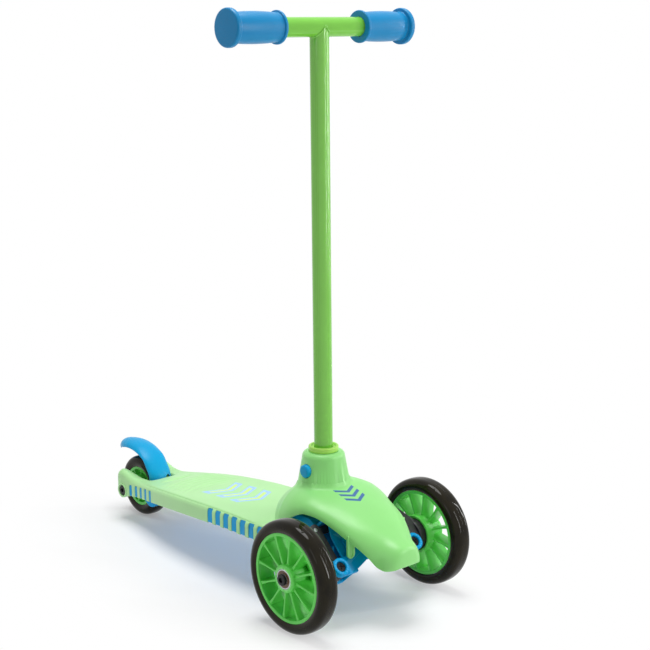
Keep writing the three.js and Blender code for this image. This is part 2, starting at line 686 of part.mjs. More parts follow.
function handlebar() {
  const crossX = alongX(0, stemBack, barHeight);
  const barEnd = barReach - gripEndWall - seatGap;
  const bore = tubeRadius - tubeWall;
  const weldTop = barHeight - tubeRadius * 0.6;
  const weld = turned([
    [0, weldTop - weldHeight - tubeRadius * 0.6], [tubeRadius, weldTop - weldHeight - tubeRadius * 0.6],
    [tubeRadius + weldReach, weldTop], [0, weldTop],
  ], roundSides, towerX);
  return cut(
    join(
      rod(tubeRadius, stemFoot, barHeight, roundSides, towerX),
      rod(tubeRadius, -barEnd, barEnd, roundSides, crossX),
      weld,
    ),
    rod(bore, stemFoot - overrun, barHeight, roundSides, towerX),
    rod(bore, -barEnd - overrun, barEnd + overrun, roundSides, crossX),
    rod(latchPinRadius + seatGap, -tubeRadius - overrun, -half(tubeRadius), smallSides, buttonX),
  );
}
addPiece('handlebar_tube', handlebar(), tubeGreen);
const plugRadius = tubeRadius - tubeWall - seatGap;
addPiece('stem_plug', rod(plugRadius, stemFoot, stemFoot + plugLength, smallSides, towerX), black);

for (const { name, sign } of sides) {
  const barEnd = barReach - gripEndWall;
  const inner = barReach - gripLength;
  const flangeOut = inner + gripInnerFlangeWidth;
  const endIn = barReach - gripEndFlangeWidth;
  const middle = half(inner + barReach);
  const bore = tubeRadius + seatGap;
  const grip = turned([
    [0, barEnd], [bore, barEnd], [bore, inner], [gripInnerFlangeRadius, inner],
    [gripInnerFlangeRadius, flangeOut - flangeFillet * 0.4], [gripWaistRadius, flangeOut + flangeFillet],
    [gripRadius, middle], [gripWaistRadius, endIn - flangeFillet], [gripEndFlangeRadius, endIn],
    [gripEndFlangeRadius, barReach - flangeFillet], [gripEndFlangeRadius - flangeFillet, barReach],
    [0, barReach],
  ].map(([radius, reach]) => [radius, sign * reach]), gripSides, alongX(0, stemBack, barHeight));
  addPiece(`grip_${name}`, grip, blue);
}

// Latch: a button in the tower's right side pushes the pin that holds the stem

const buttonOut = towerRadius(buttonHeight) + buttonReach;
const buttonIn = buttonOut - buttonLength;
const pinOut = buttonIn + latchPinDepth;
const pinIn = tubeRadius - tubeWall - latchPinReach;
addPiece('push_button', cut(
  turned([
    [0, -buttonIn], [buttonRadius, -buttonIn], [buttonRadius, -buttonOut + buttonDome],
    [buttonRadius * 0.82, -buttonOut + buttonDome * 0.3], [0, -buttonOut],
  ], roundSides, buttonX),
  rod(latchPinRadius + seatGap, -pinOut - seatGap, -buttonIn + overrun, smallSides, buttonX),
), blue);
addPiece('latch_pin', rod(latchPinRadius, -pinOut, -pinIn, smallSides, buttonX), steel);

// A coil spring: a wire swept along a helix about the local y axis
function coil(radius, low, high, turns, stepsPerTurn, sidesOfWire, matrix) {
  class Helix extends THREE.Curve {
    getPoint(t, target = new THREE.Vector3()) {
      const angle = t * turns * 2 * Math.PI;
      const height = low + half(springWire) + t * (high - low - springWire);
      return target.set(radius * Math.cos(angle), height, radius * Math.sin(angle));
    }
  }
  const section = new THREE.Shape().absarc(0, 0, half(springWire), 0, 2 * Math.PI, false);
  const geometry = new THREE.ExtrudeGeometry(section, {
    extrudePath: new Helix(), steps: turns * stepsPerTurn, curveSegments: sidesOfWire, bevelEnabled: false,
  });
  return solid(geometry.applyMatrix4(matrix));
}
const coilSteps = 6;
const coilSides = 2;
const springFar = tubeRadius - tubeWall - buttonTravel - seatGap;
addPiece('latch_spring', coil(latchPinRadius - springWire, -pinIn + seatGap, springFar,
  latchCoilTurns, coilSteps, coilSides, buttonX), steel);

// Steering directions: up along the head's slope, and down a kingpin
const tilt = THREE.MathUtils.degToRad(kingpinTilt);
const slopeUp = new THREE.Vector3(0, Math.cos(tilt), Math.sin(tilt));
const pinDown = new THREE.Vector3(0, Math.sin(tilt), -Math.cos(tilt));
const kingpinTop = deckHeight - kingpinDrop;
const kingpinSpot = (x) => new THREE.Vector3(x, -kingpinFront, kingpinTop);
const outward = (sign) => X.clone().multiplyScalar(sign);
// Plates on the head lie across and up the slope; each knuckle has its own frames about its kingpin
const headFlat = frame(kingpinSpot(0), X, slopeUp, pinDown);
const kingpinFlat = (sign) => frame(kingpinSpot(sign * kingpinOut), outward(sign), slopeUp, pinDown);
const aboutKingpin = (sign) => frame(kingpinSpot(sign * kingpinOut), outward(sign), pinDown, slopeUp);
const acrossKingpin = (sign) => frame(kingpinSpot(sign * kingpinOut), slopeUp, pinDown, outward(sign));
const mirrored = (points) => points.concat(points.map(([x, y]) => [-x, y]).reverse());

// Lower chassis: tray, prongs beside the rear wheel, spine, stem socket and steering head in one moulding

function traySection(back, inset, floor, lift) {
  const out = deckSide(back) - deckWall - seatGap - inset;
  const foot = deckSkirt(back) - trayDrop + floor;
  const top = deckTop(back) - trayHeadroom + lift;
  const inner = Math.min(forkHalfGap, half(deckSide(back) - deckWall));
  return mirrored([
    [out, foot], [out, top - trayChamferHeight], [out - trayChamferWidth, top],
    [inner, deckDish(back) - trayHeadroom + lift],
  ]);
}

function trayBody() {
  const outer = along((back) => traySection(back, 0, 0, 0), trayPlaces);
  const room = along((back) => traySection(back, trayWall, trayFloor, overrun), trayPlaces);
  const pockets = [];
  const pocket = (trayRear - trayFront) / trayPocketRows;
  for (let row = 0; row < trayPocketRows; row += 1) {
    const start = trayFront + row * pocket;
    const end = start + pocket - half(trayWall);
    pockets.push(box(-deckHalfWidth, deckHalfWidth, start + trayWall, end, 0, deckHeight));
  }
  const seats = [];
  for (const { back, out } of screwPlaces) {
    for (const { sign } of sides) {
      const stand = upright(sign * out, back, 0);
      seats.push(rod(screwRadius + seatGap, 0, deckSkirt(back) + bossGap, bossSides, stand));
      seats.push(rod(screwHeadRadius + seatGap, 0, screwSeat(back), smallSides, stand));
    }
  }
  const bellies = sides.map(({ sign }) => rod(
    bellyRadius, sign * (forkHalfGap + forkWall + seatGap), sign * bellyOut, smallSides,
    alongX(0, trayRear + seatGap + overrun, deckSkirt(trayRear) + overrun),
  ));
  const bossClear = sides.map(({ sign }) => rod(
    rearBossRadius + seatGap, sign * (deckSide(wheelbase) - rearBossWidth - seatGap),
    sign * deckHalfWidth, smallSides, rearAxleX,
  ));
  const forkClear = forkHalfGap + forkWall + seatGap;
  const padBase = deckSkirt(padBack) - trayDrop;
  const pad = box(-padHalfWidth, padHalfWidth, padBack - padHalfLength, padBack + padHalfLength,
    padBase - padHeight, padBase + half(trayFloor));
  return cut(
    join(cut(outer, room.intersect(join(...pockets))), ...bellies, pad),
    box(-forkClear, forkClear, trayRear, deckRear, 0, deckHeight),
    ...seats, ...bossClear, brakePinHole(),
    rod(axleRadius + seatGap, -deckHalfWidth, deckHalfWidth, smallSides, rearAxleX),
  );
}

function spineBody() {
  const spineTop = deckHeight + spineRise;
  const profile = polygon(spineShares.map(([back, up]) => [back * spineRear, up * spineTop]));
  const block = plate(profile, -spineHalfWidth, spineHalfWidth, frame(new THREE.Vector3(), Y, Z, X));
  const hollows = sides.map(({ sign }) => {
    const across = span(sign * (towerBoreRadius - seatGap), sign * (spineHalfWidth - socketWall));
    return box(...across, spineRear - spinePocket, spineRear - socketWall, 0, spineTop - socketWall);
  });
  const socketTop = collarFoot - seatGap * 3;
  const socket = rod(towerBoreRadius - seatGap, stemFoot, socketTop, roundSides, towerX);
  return cut(
    join(cut(block, ...hollows), socket),
    rod(tubeRadius + seatGap, stemFoot - seatGap, socketTop + overrun, roundSides, towerX),
  );
}

function headBody() {
  const lowerEdge = headEdgeShares.map(([out, up]) => [out * kingpinOut, up * kingpinOut]);
  const web = plate(polygon(mirrored([
    [headWebHalfWidth, headWebTop], [headWebHalfWidth, earRadius - lipHeight], [barrelClear, 0], ...lowerEdge,
  ])), headWebFront, lipBack, headFlat);
  const lip = plate(polygon(mirrored([
    [headWebHalfWidth, headWebTop], [headPlateHalfWidth, headWebTop * 0.5], [kingpinOut, lipRadius * 0.8],
    [kingpinOut, -lipRadius * 0.8], ...lowerEdge,
  ])), lipFront, lipFront + lipHeight, headFlat);
  const skin = plate(polygon(mirrored([
    [headWebHalfWidth, headPlateTop], [headPlateHalfWidth * 0.9, headPlateTop * 0.8],
    [headPlateHalfWidth, headPlateTop * 0.6], [headPlateHalfWidth, 0],
  ])), headPlateFront, headPlateFront + headPlateThickness, headFlat);
  const roof = box(-headWebHalfWidth, headWebHalfWidth, headPlateTop - headRoof, headPlateTop,
    headPlateFront, headPlateFront + lipBack, headFlat);
  const ears = sides.map(({ sign }) => join(
    rod(earRadius, 0, earHeight, smallSides, aboutKingpin(sign)),
    rod(lipRadius, lipFront, lipFront + lipHeight, smallSides, aboutKingpin(sign)),
    box(...span(sign * headWebHalfWidth, sign * kingpinOut), -earRadius * 0.85, earRadius * 0.85,
      headWebFront, earHeight, headFlat),
  ));
  const holes = sides.map(({ sign }) => join(
    rod(kingpinRadius + seatGap, -overrun, lipBack + overrun, smallSides, aboutKingpin(sign)),
    rod(kingpinRecessRadius, -overrun, kingpinHeadRecess + kingpinHeadHeight, smallSides, aboutKingpin(sign)),
  ));
  return { solidParts: join(web, lip, skin, roof, ...ears), holes };
}
const head = headBody();
addPiece('lower_chassis', cut(join(trayBody(), spineBody(), head.solidParts), ...head.holes), deepBlue);

// Steering knuckles: barrel about the kingpin, neck to the wheel's boss, arm back to the tie rod

const axleX = alongX(0, 0, frontWheelRadius);
const wheelOut = half(frontTrack);
const bossIn = wheelOut - half(hubLength) - seatGap - knuckleNoseHeight - knuckleBossWidth;
const bossOut = bossIn + knuckleBossWidth;
const barrelFoot = barrelTop + barrelHeight;
// The wheel's axle as a kingpin sees it: up the slope and down the pin from its top
const fromPin = new THREE.Vector3(0, kingpinFront, frontWheelRadius - kingpinTop);
const axleUp = fromPin.dot(slopeUp);
const axleDown = fromPin.dot(pinDown);

function knuckle(sign) {
  const barrel = rod(barrelRadius, barrelTop, barrelFoot, smallSides, aboutKingpin(sign));
  const neckLength = bossIn + neckSink - kingpinOut;
  const section = ([near, far], [high, low], at) => (
    { outline: [[near, high], [far, high], [far, low], [near, low]], at: at * neckLength }
  );
  const neck = loft([
    ...neckShares.map(({ at, up, down }) => section(
      up.map((share) => share * barrelRadius), down.map((share) => share * barrelFoot), at,
    )),
    section(
      neckEndShares.up.map((share) => axleUp + share * knuckleBossRadius),
      neckEndShares.down.map((share) => axleDown + share * knuckleBossRadius), 1,
    ),
  ], acrossKingpin(sign));
  const boss = turned([
    [0, bossIn], [knuckleBossRadius - bossChamfer, bossIn], [knuckleBossRadius, bossIn + bossChamfer],
    [knuckleBossRadius, bossOut], [knuckleNoseRadius, bossOut],
    [knuckleNoseRadius, bossOut + knuckleNoseHeight], [0, bossOut + knuckleNoseHeight],
  ].map(([radius, reach]) => [radius, sign * reach]), roundSides, axleX);
  const arm = new THREE.Shape();
  const bulge = bossIn + armThickness * 0.5 - kingpinOut;
  arm.moveTo(-barrelRadius, 0);
  arm.lineTo(-armEndRadius, steeringArm);
  arm.absarc(0, steeringArm, armEndRadius, Math.PI, 0, true);
  arm.lineTo(bulge, knuckleBossRadius * 1.5);
  arm.lineTo(bulge, knuckleBossRadius * 0.4);
  arm.lineTo(barrelRadius, 0);
  return cut(
    join(barrel, neck, boss, plate(arm, armTop, armTop + armThickness, kingpinFlat(sign), 4)),
    rod(bushRadius + seatGap, barrelTop - overrun, barrelFoot + overrun, smallSides, aboutKingpin(sign)),
    rod(axleRadius + seatGap, sign * (bossIn - overrun), sign * (bossOut + overrun), smallSides, axleX),
    rod(
      axleNutRadius + runningGap, sign * (kingpinOut + knuckleNoseRadius), sign * bossIn, smallSides, axleX,
    ),
    rod(
      tiePinRadius + seatGap, armTop - overrun, armTop + armThickness + overrun, smallSides, tiePinAxis(sign),
    ),
  );
}
const upArm = new THREE.Matrix4().makeTranslation(0, 0, steeringArm);
const tiePinAxis = (sign) => aboutKingpin(sign).multiply(upArm);
const eyeTop = armTop + armThickness + seatGap;
const eyeFoot = eyeTop + tieEyeThickness;

for (const { name, sign } of sides) {
  addPiece(`knuckle_${name}`, knuckle(sign), black);
  addPiece(`kingpin_bush_${name}`, ring(
    kingpinRadius + seatGap, bushRadius, barrelTop, barrelFoot, smallSides, aboutKingpin(sign),
  ), black);
  const headFoot = kingpinHeadRecess + kingpinHeadHeight - seatGap;
  addPiece(`kingpin_bolt_${name}`, cut(
    join(
      rod(kingpinHeadRadius, kingpinHeadRecess, headFoot, smallSides, aboutKingpin(sign)),
      rod(kingpinRadius, half(headFoot), lipFront + lipHeight, smallSides, aboutKingpin(sign)),
    ),
    rod(half(kingpinHeadRadius), 0, kingpinHeadRecess + axleSocketDepth, hexSides, aboutKingpin(sign)),
  ), darkSteel);
  addPiece(`tie_rod_pin_${name}`, join(
    rod(tiePinRadius, armTop + seatGap, eyeFoot + seatGap * 2, smallSides, tiePinAxis(sign)),
    rod(
      tiePinHeadRadius, eyeFoot + seatGap, eyeFoot + seatGap + tiePinHeadHeight, smallSides, tiePinAxis(sign),
    ),
  ), steel);
}

const tieBar = box(-kingpinOut, kingpinOut, steeringArm - tieBarWidth * 0.5, steeringArm + tieBarWidth * 0.5,
  eyeTop, eyeFoot, headFlat);
addPiece('tie_rod', cut(
  join(tieBar, ...sides.map(({ sign }) => rod(armEndRadius, eyeTop, eyeFoot, smallSides, tiePinAxis(sign)))),
  ...sides.map(({ sign }) => rod(
    tiePinRadius + seatGap, eyeTop - overrun, eyeFoot + overrun, smallSides, tiePinAxis(sign),
  )),
), black);

// Wheels: hub with radial blades between barrel and rim, tyre, two bearings and a spacer

function wheelHub(at, rim, width, bladeThickness, blades, matrix, extras = []) {
  const bladeParts = [];
  for (let i = 0; i < blades; i += 1) {
    const turn = new THREE.Matrix4().makeRotationY((i / blades + half(1 / hubSides)) * 2 * Math.PI);
    const reach = half(width) - bladeInset;
    bladeParts.push(box(
      -half(bladeThickness), half(bladeThickness), at - reach, at + reach,
      hubRadius - bladeThickness, rim - seatGap - half(rimThickness), matrix.clone().multiply(turn),
    ));
  }
  const bearingSeat = half(hubLength) - bearingWidth - seatGap;
  return cut(
    join(
      ring(rim - seatGap - rimThickness, rim - seatGap, at - half(width), at + half(width), hubSides, matrix),
      rod(hubRadius, at - half(hubLength), at + half(hubLength), hubSides, matrix),
      ...bladeParts, ...extras,
    ),
    rod(hubBoreRadius, at - bearingSeat - overrun, at + bearingSeat + overrun, smallSides, matrix),
    rod(bearingRadius + seatGap, at + bearingSeat, at + hubLength, smallSides, matrix),
    rod(bearingRadius + seatGap, at - hubLength, at - bearingSeat, smallSides, matrix),
  );
}

function tyre(at, rim, crown, rimWidth, width, matrix) {
  const outline = tyreShares.map(([across, up]) => [crown - up * tyreShoulder * 2, half(width) * across]);
  const lower = outline.map(([radius, across]) => [radius, at - across]).reverse();
  const upper = outline.map(([radius, across]) => [radius, at + across]);
  return turned([
    [rim, at - half(rimWidth)], ...lower, ...upper, [rim, at + half(rimWidth)], [rim, at - half(rimWidth)],
  ], tyreSides, matrix);
}

const bearing = (inner, outer, matrix) => (
  ring(axleRadius + seatGap, bearingRadius, ...span(inner, outer), smallSides, matrix)
);

for (const { name, sign } of sides) {
  const at = sign * wheelOut;
  const lipRing = ring(hubRingInner, hubRingInner + rimThickness, ...span(
    sign * (bossOut - hubRingReach), sign * (wheelOut - half(frontRimWidth) + rimThickness),
  ), hubRingSides, axleX);
  addPiece(`front_hub_${name}`, wheelHub(
    at, frontRimRadius, frontRimWidth, frontBladeThickness, bladeCount, axleX, [lipRing],
  ), hubGreen);
  addPiece(`front_tyre_${name}`, tyre(
    at, frontRimRadius, frontWheelRadius, frontRimWidth, frontTyreWidth, axleX,
  ), tyreBrown);
  const bearingIn = half(hubLength) - bearingWidth;
  for (const [place, way] of [['outer', sign], ['inner', -sign]]) {
    const [inner, outer] = [at + way * bearingIn, at + way * half(hubLength)];
    addPiece(`front_bearing_${place}_${name}`, bearing(inner, outer, axleX), steel);
  }
  const spacerEnd = bearingIn - seatGap;
  addPiece(`front_spacer_${name}`, ring(
    axleRadius + seatGap, spacerRadius, at - spacerEnd, at + spacerEnd, smallSides, axleX,
  ), steel);
  const headIn = wheelOut + half(hubLength) + seatGap;
  const headEnd = headIn + axleHeadHeight;
  const nutOut = bossIn - seatGap;
  addPiece(`front_axle_bolt_${name}`, cut(
    join(
      rod(
        axleRadius, sign * (nutOut - axleNutHeight - knuckleNoseHeight),
        sign * (headIn + half(axleHeadHeight)), smallSides, axleX,
      ),
      rod(axleHeadRadius, sign * headIn, sign * headEnd, smallSides, axleX),
    ),
    rod(axleSocketRadius, sign * (headEnd - axleSocketDepth), sign * (headEnd + overrun), hexSides, axleX),
  ), darkSteel);
  addPiece(`front_axle_nut_${name}`, cut(
    rod(axleNutRadius, sign * (nutOut - axleNutHeight), sign * nutOut, hexSides, axleX),
    rod(axleRadius + seatGap, sign * (nutOut - hubLength), sign * wheelOut, smallSides, axleX),
  ), steel);
}

addPiece('rear_hub', wheelHub(
  0, rearRimRadius, rearRimWidth, rearBladeThickness, rearBladeCount, rearAxleX,
), hubGreen);
addPiece('rear_tyre', tyre(
  0, rearRimRadius, rearWheelRadius, rearRimWidth, rearTyreWidth, rearAxleX,
), tyreBrown);
for (const { name, sign } of sides) {
  const bearingIn = half(hubLength) - bearingWidth;
  addPiece(`rear_bearing_${name}`, bearing(sign * bearingIn, sign * half(hubLength), rearAxleX), steel);
  addPiece(`rear_fork_spacer_${name}`, ring(
    axleRadius + seatGap, spacerRadius,
    ...span(sign * (half(hubLength) + seatGap), sign * (forkHalfGap - seatGap)), smallSides, rearAxleX,
  ), steel);
}
const rearSpacerEnd = half(hubLength) - bearingWidth - seatGap;
addPiece('rear_spacer', ring(
  axleRadius + seatGap, spacerRadius, -rearSpacerEnd, rearSpacerEnd, smallSides, rearAxleX,
), steel);
const rearHeadIn = deckSide(wheelbase) + rearBossReach - rearHeadRecess + seatGap;
const rearHeadOut = rearHeadIn + axleHeadHeight;
addPiece('rear_axle_bolt', cut(
  join(
    rod(axleRadius, -rearHeadIn - half(axleHeadHeight), rearHeadOut - seatGap, smallSides, rearAxleX),
    rod(axleHeadRadius, -rearHeadOut, -rearHeadIn, smallSides, rearAxleX),
  ),
  rod(axleSocketRadius, -rearHeadOut - overrun, -rearHeadOut + axleSocketDepth, hexSides, rearAxleX),
), darkSteel);
addPiece('rear_axle_nut', cut(
  rod(rearNutRadius, rearHeadIn, rearHeadOut, hexSides, rearAxleX),
  rod(axleRadius + seatGap, 0, deckHalfWidth, smallSides, rearAxleX),
), steel);

// Brake: an arched fender over the rear wheel that is pressed down with the foot

function fender() {
  const at = ([back, up]) => [fenderFoot + back * fenderLength, fenderLow + up * fenderRise];
  const crown = fenderCrownShares.map(at);
  const edge = fenderEdgeShares.map(at);
  const last = crown.length - 1;
  const columns = 2 * fenderColumns;
  const rows = (narrower, deeper) => crown.map(([y, z], i) => {
    const [before, after] = [crown[Math.max(i - 1, 0)], crown[Math.min(i + 1, last)]];
    const run = Math.hypot(after[0] - before[0], after[1] - before[1]);
    const [ny, nz] = [(after[1] - before[1]) / run, (before[0] - after[0]) / run];
    const [topY, topZ] = [y + ny * deeper, z + nz * deeper];
    const width = brakeHalfWidth * fenderWidthShares[i] * narrower;
    const row = [];
    for (let j = 0; j <= columns; j += 1) {
      const angle = Math.PI * (j / columns - half(1));
      const fall = 1 - Math.cos(angle);
      row.push([
        width * Math.sin(angle), topY + (edge[i][0] - topY) * fall, topZ + (edge[i][1] - topZ) * fall,
      ]);
    }
    return row;
  });
  const outer = rows(1, 0);
  const inner = rows(1 - brakeWall / brakeHalfWidth, brakeWall);
  const count = columns + 1;
  const positions = [...outer.flat(2), ...inner.flat(2)];
  const underside = crown.length * count;
  const index = [];
  const quad = (a, b, c, d) => index.push(a, b, c, a, c, d);
  for (let i = 0; i < last; i += 1) {
    for (let j = 0; j < columns; j += 1) {
      const [a, b] = [i * count + j, (i + 1) * count + j];
      quad(a, b, b + 1, a + 1);
      quad(underside + a, underside + a + 1, underside + b + 1, underside + b);
    }
    const [a, b, end] = [i * count, (i + 1) * count, columns];
    quad(a, underside + a, underside + b, b);
    quad(a + end, b + end, underside + b + end, underside + a + end);
  }
  for (let j = 0; j < columns; j += 1) {
    const back = last * count + j;
    quad(j, j + 1, underside + j + 1, underside + j);
    quad(back, underside + back, underside + back + 1, back + 1);
  }
  const geometry = new THREE.BufferGeometry();
  geometry.setAttribute('position', new THREE.Float32BufferAttribute(positions, 3));
  geometry.setIndex(index);
  const foot = polygon(brakeFootShares.map(([back, up]) => [
    brakePivotBack + back * brakeBarrelRadius, brakePivotHeight + up * brakeBarrelRadius,
  ]));
  const barrelEnd = forkHalfGap - runningGap - seatGap;
  const footHalf = brakeHalfWidth - brakeWall;
  const springEnd = barrelEnd - springRoom;
  return cut(
    join(
      solid(geometry),
      plate(foot, -footHalf, footHalf, frame(new THREE.Vector3(), Y, Z, X)),
      rod(brakeBarrelRadius, -barrelEnd, springEnd, smallSides, brakePivotX),
    ),
    rod(brakePinRadius + seatGap, -barrelEnd - overrun, barrelEnd + overrun, smallSides, brakePivotX),
    rod(brakeBarrelRadius + runningGap, springEnd, barrelEnd + overrun, smallSides, brakePivotX),
    rod(fenderHoleRadius, fenderFoot - overrun * 2, fenderFoot + brakeHalfWidth, smallSides,
      frame(new THREE.Vector3(fenderHoleOut, 0, deckTop(fenderFoot) - half(fenderHoleRadius)), X, Y, Z)),
  );
}
addPiece('brake_fender', fender(), blue);
const brakePin = rod(brakePinRadius, -brakePinHalfLength, brakePinHalfLength, smallSides, brakePivotX);
addPiece('brake_pivot_pin', brakePin, steel);
const brakeSpringEnd = forkHalfGap - runningGap - seatGap;
addPiece('brake_spring', coil(brakeSpringRadius, brakeSpringEnd - springRoom + seatGap, brakeSpringEnd,
  brakeCoilTurns, coilSteps, coilSides, brakePivotX), steel);

// Screws from under the tray into the deck's bosses

for (const { name: row, back, out } of screwPlaces) {
  for (const { name, sign } of sides) {
    const stand = upright(sign * out, back, 0);
    const headTop = screwSeat(back) - seatGap;
    addPiece(`chassis_screw_${row}_${name}`, join(
      rod(screwRadius, headTop - half(screwHeadHeight), screwSeat(back) + screwLength, bossSides, stand),
      rod(screwHeadRadius, headTop - screwHeadHeight, headTop, smallSides, stand),
    ), steel);
  }
}

export default scooter;
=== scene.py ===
"""The looks of a three wheel kids' scooter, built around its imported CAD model.

Shapes are written in millimetres from the front axle: x to the rider's left, y backwards, z up.
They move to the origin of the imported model, in metres, when a piece is made.
"""

from functools import partial
from math import copysign, cos, exp, hypot, pi, radians, sin, sqrt, tau

import bmesh
import bpy
import numpy as np
from mathutils import Matrix, Vector
from numpy.linalg import norm


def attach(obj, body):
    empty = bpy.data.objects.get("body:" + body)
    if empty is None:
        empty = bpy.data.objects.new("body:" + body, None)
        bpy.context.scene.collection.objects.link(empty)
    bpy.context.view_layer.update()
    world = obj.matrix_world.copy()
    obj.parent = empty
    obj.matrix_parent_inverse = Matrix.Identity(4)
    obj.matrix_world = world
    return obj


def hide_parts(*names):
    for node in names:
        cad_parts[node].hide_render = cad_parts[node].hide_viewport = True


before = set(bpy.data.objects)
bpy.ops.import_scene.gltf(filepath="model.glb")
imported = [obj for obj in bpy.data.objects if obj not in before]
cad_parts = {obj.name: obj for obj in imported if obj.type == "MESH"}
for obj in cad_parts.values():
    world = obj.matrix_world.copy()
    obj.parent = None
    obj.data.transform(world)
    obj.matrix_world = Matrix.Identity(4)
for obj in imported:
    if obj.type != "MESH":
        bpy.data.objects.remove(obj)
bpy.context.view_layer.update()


# Sizes shared with the CAD model, in millimetres

METRE = 0.001
ORIGIN_SHIFT = -200.5
SEAT_GAP = 0.3

WHEELBASE = 420
WHEEL_OUT = 101
FRONT_WHEEL_RADIUS = 62.5
REAR_WHEEL_RADIUS = 40
TYRE_WIDTH = 24
FRONT_RIM_RADIUS = 49.7
REAR_RIM_RADIUS = 26.2
RIM_WIDTH = 21
RIM_THICKNESS = 2.8
TYRE_SHOULDER = 5
HUB_LENGTH = 26.8
BEARING_RADIUS = 11
BEARING_WIDTH = 7
AXLE_RADIUS = 4
SPACER_BORE = 4.3
SPACER_RADIUS = 6.2

BAR_HEIGHT = 634
TUBE_RADIUS = 10.5
TUBE_WALL = 1.6
STEM_BACK = 62.5
STEM_FOOT = 75
BAR_REACH = 125.4
GRIP_LENGTH = 68.5

DECK_START = 74
DECK_REAR = WHEELBASE + 12.5
DECK_HALF_WIDTH = 62
DECK_HEIGHT = 80.5
DECK_WALL = 3
DECK_EDGE_RADIUS = 7
FORK_HALF_GAP = 18.5
FORK_WALL = 2.5
FORK_GAP_FRONT = WHEELBASE - 46
FORK_WALL_FRONT = WHEELBASE - 58
TRAY_START = 79
CELLS_END = 360
SCREW_BORE = 2.2
TRAY_DROP = 3.7

NOSE_REACH = 73
HOOD_TAIL = 138
HOOD_HALF_WIDTH = 59
HOOD_HEIGHT = 133.5
HOOD_WALL = 3
TOWER_TOP = 167
TOWER_FOOT = 126
TOWER_FOOT_RADIUS = 30.4
TOWER_TOP_RADIUS = 24.3
TOWER_RIM = 6
TOWER_BORE = 15.6
BUTTON_HEIGHT = 148
BUTTON_RADIUS = 7.5
LATCH_BORE = 3.3

KINGPIN_TILT = radians(48)
KINGPIN_OUT = 56
KINGPIN_FRONT = 28
KINGPIN_TOP = 69.5
KINGPIN_BORE = 4.2
BARREL_TOP, BARREL_BOTTOM = 9, 21
HEAD_BOTTOM = 27
LIP_TOP = 21.7
WEB_HALF = 34
WEB_TOP = 4.2
PAD_END = 8.3
TIE_UP = 50
TIE_BORE = 2.7
TIE_TOP, TIE_BOTTOM = 17.8, 22.8

BRAKE_PIVOT_BACK = WHEELBASE - 50
BRAKE_PIVOT_HEIGHT = 48
PIVOT_BORE = 2.8
PIVOT_END = 27.3

SIDES = (("left", 1), ("right", -1))
ROUND = 72  # Steps of a turned solid


# Shape tools


def in_scene(name, data):
    """A new object, linked to the scene."""
    made = bpy.data.objects.new(name, data)
    bpy.context.scene.collection.objects.link(made)
    return made


def arc(steps):
    """The cosine and sine of even steps through a quarter turn."""
    return [(cos(a), sin(a)) for a in (pi / 2 * k / steps for k in range(steps + 1))]


def rectangle(x, y, x_end, y_end):
    return [(x, y), (x_end, y), (x_end, y_end), (x, y_end)]


def mirrored(points):
    return list(points) + [(-x, y) for x, y in reversed(points)]


def axes(origin, x, y, z):
    """A frame whose axes lie along three directions."""
    matrix = Matrix.Identity(4)
    for column, direction in enumerate((x, y, z)):
        matrix.col[column].xyz = direction
    matrix.translation = Vector(origin)
    return matrix


X, Y, Z = Vector((1, 0, 0)), Vector((0, 1, 0)), Vector((0, 0, 1))


def upright(x, y, z=0.0):
    return axes((x, y, z), X, Y, Z)


def sideways(x, y, z):
    """A frame whose z axis lies along the scooter's x."""
    return axes((x, y, z), Y, Z, X)


TOWER = upright(0, STEM_BACK)
BUTTON_AXIS = sideways(0, STEM_BACK, BUTTON_HEIGHT)
FRONT_AXLE = sideways(0, 0, FRONT_WHEEL_RADIUS)
REAR_AXLE = sideways(0, WHEELBASE, REAR_WHEEL_RADIUS)
BRAKE_PIVOT = sideways(0, BRAKE_PIVOT_BACK, BRAKE_PIVOT_HEIGHT)
BAR_AXIS = sideways(0, STEM_BACK, BAR_HEIGHT)
CROSSWISE = sideways(0, 0, 0)


def smooth_curve(places, values):
    """A curve through table values that never overshoots them."""
    places, values = np.array(places, float), np.array(values, float)
    slopes = np.diff(values) / np.diff(places)
    tangents = np.zeros(len(values))
    tangents[0], tangents[-1] = slopes[0], slopes[-1]
    for i in range(1, len(values) - 1):
        before, after = slopes[i - 1], slopes[i]
        tangents[i] = 2 * before * after / (before + after) if before * after > 0 else 0

    def at(place):
        i = int(np.clip(np.searchsorted(places, place) - 1, 0, len(places) - 2))
        span = places[i + 1] - places[i]
        t = min(max((place - places[i]) / span, 0), 1)
        t2, t3 = t * t, t * t * t
        ends = values[i] * (1 + 2 * t3 - 3 * t2) + values[i + 1] * (3 * t2 - 2 * t3)
        return ends + span * (tangents[i] * (t3 - 2 * t2 + t) + tangents[i + 1] * (t3 - t2))

    return at


def smooth_step(low, high, value):
    t = min(max((value - low) / (high - low), 0), 1)
    return t * t * (3 - 2 * t)


def rounded(points, radii, closed=False, steps=4):
    """The same line with its corners rounded, by one radius or by one for each point."""
    points = [np.array(p, float) for p in points]
    count = len(points)
    radii = [radii] * count if np.isscalar(radii) else radii
    line = []
    for i, point in enumerate(points):
        if radii[i] <= 0 or (not closed and i in (0, count - 1)):
            line.append(point)
            continue
        before, after = points[i - 1] - point, points[(i + 1) % count] - point
        reach = min(radii[i], 0.48 * norm(before), 0.48 * norm(after))
        start = point + before / norm(before) * reach
        end = point + after / norm(after) * reach
        for k in range(steps + 1):
            t = k / steps
            line.append(start * (1 - t) ** 2 + point * 2 * t * (1 - t) + end * t**2)
    return line


def dense(outline, pitch):
    """A closed outline with more points where it runs along its second axis."""
    line = []
    for (x, y), (x_next, y_next) in zip(outline, outline[1:] + outline[:1]):
        steps = max(1, int(abs(y_next - y) / pitch))
        line += [(x + (x_next - x) * k / steps, y + (y_next - y) * k / steps) for k in range(steps)]
    return line


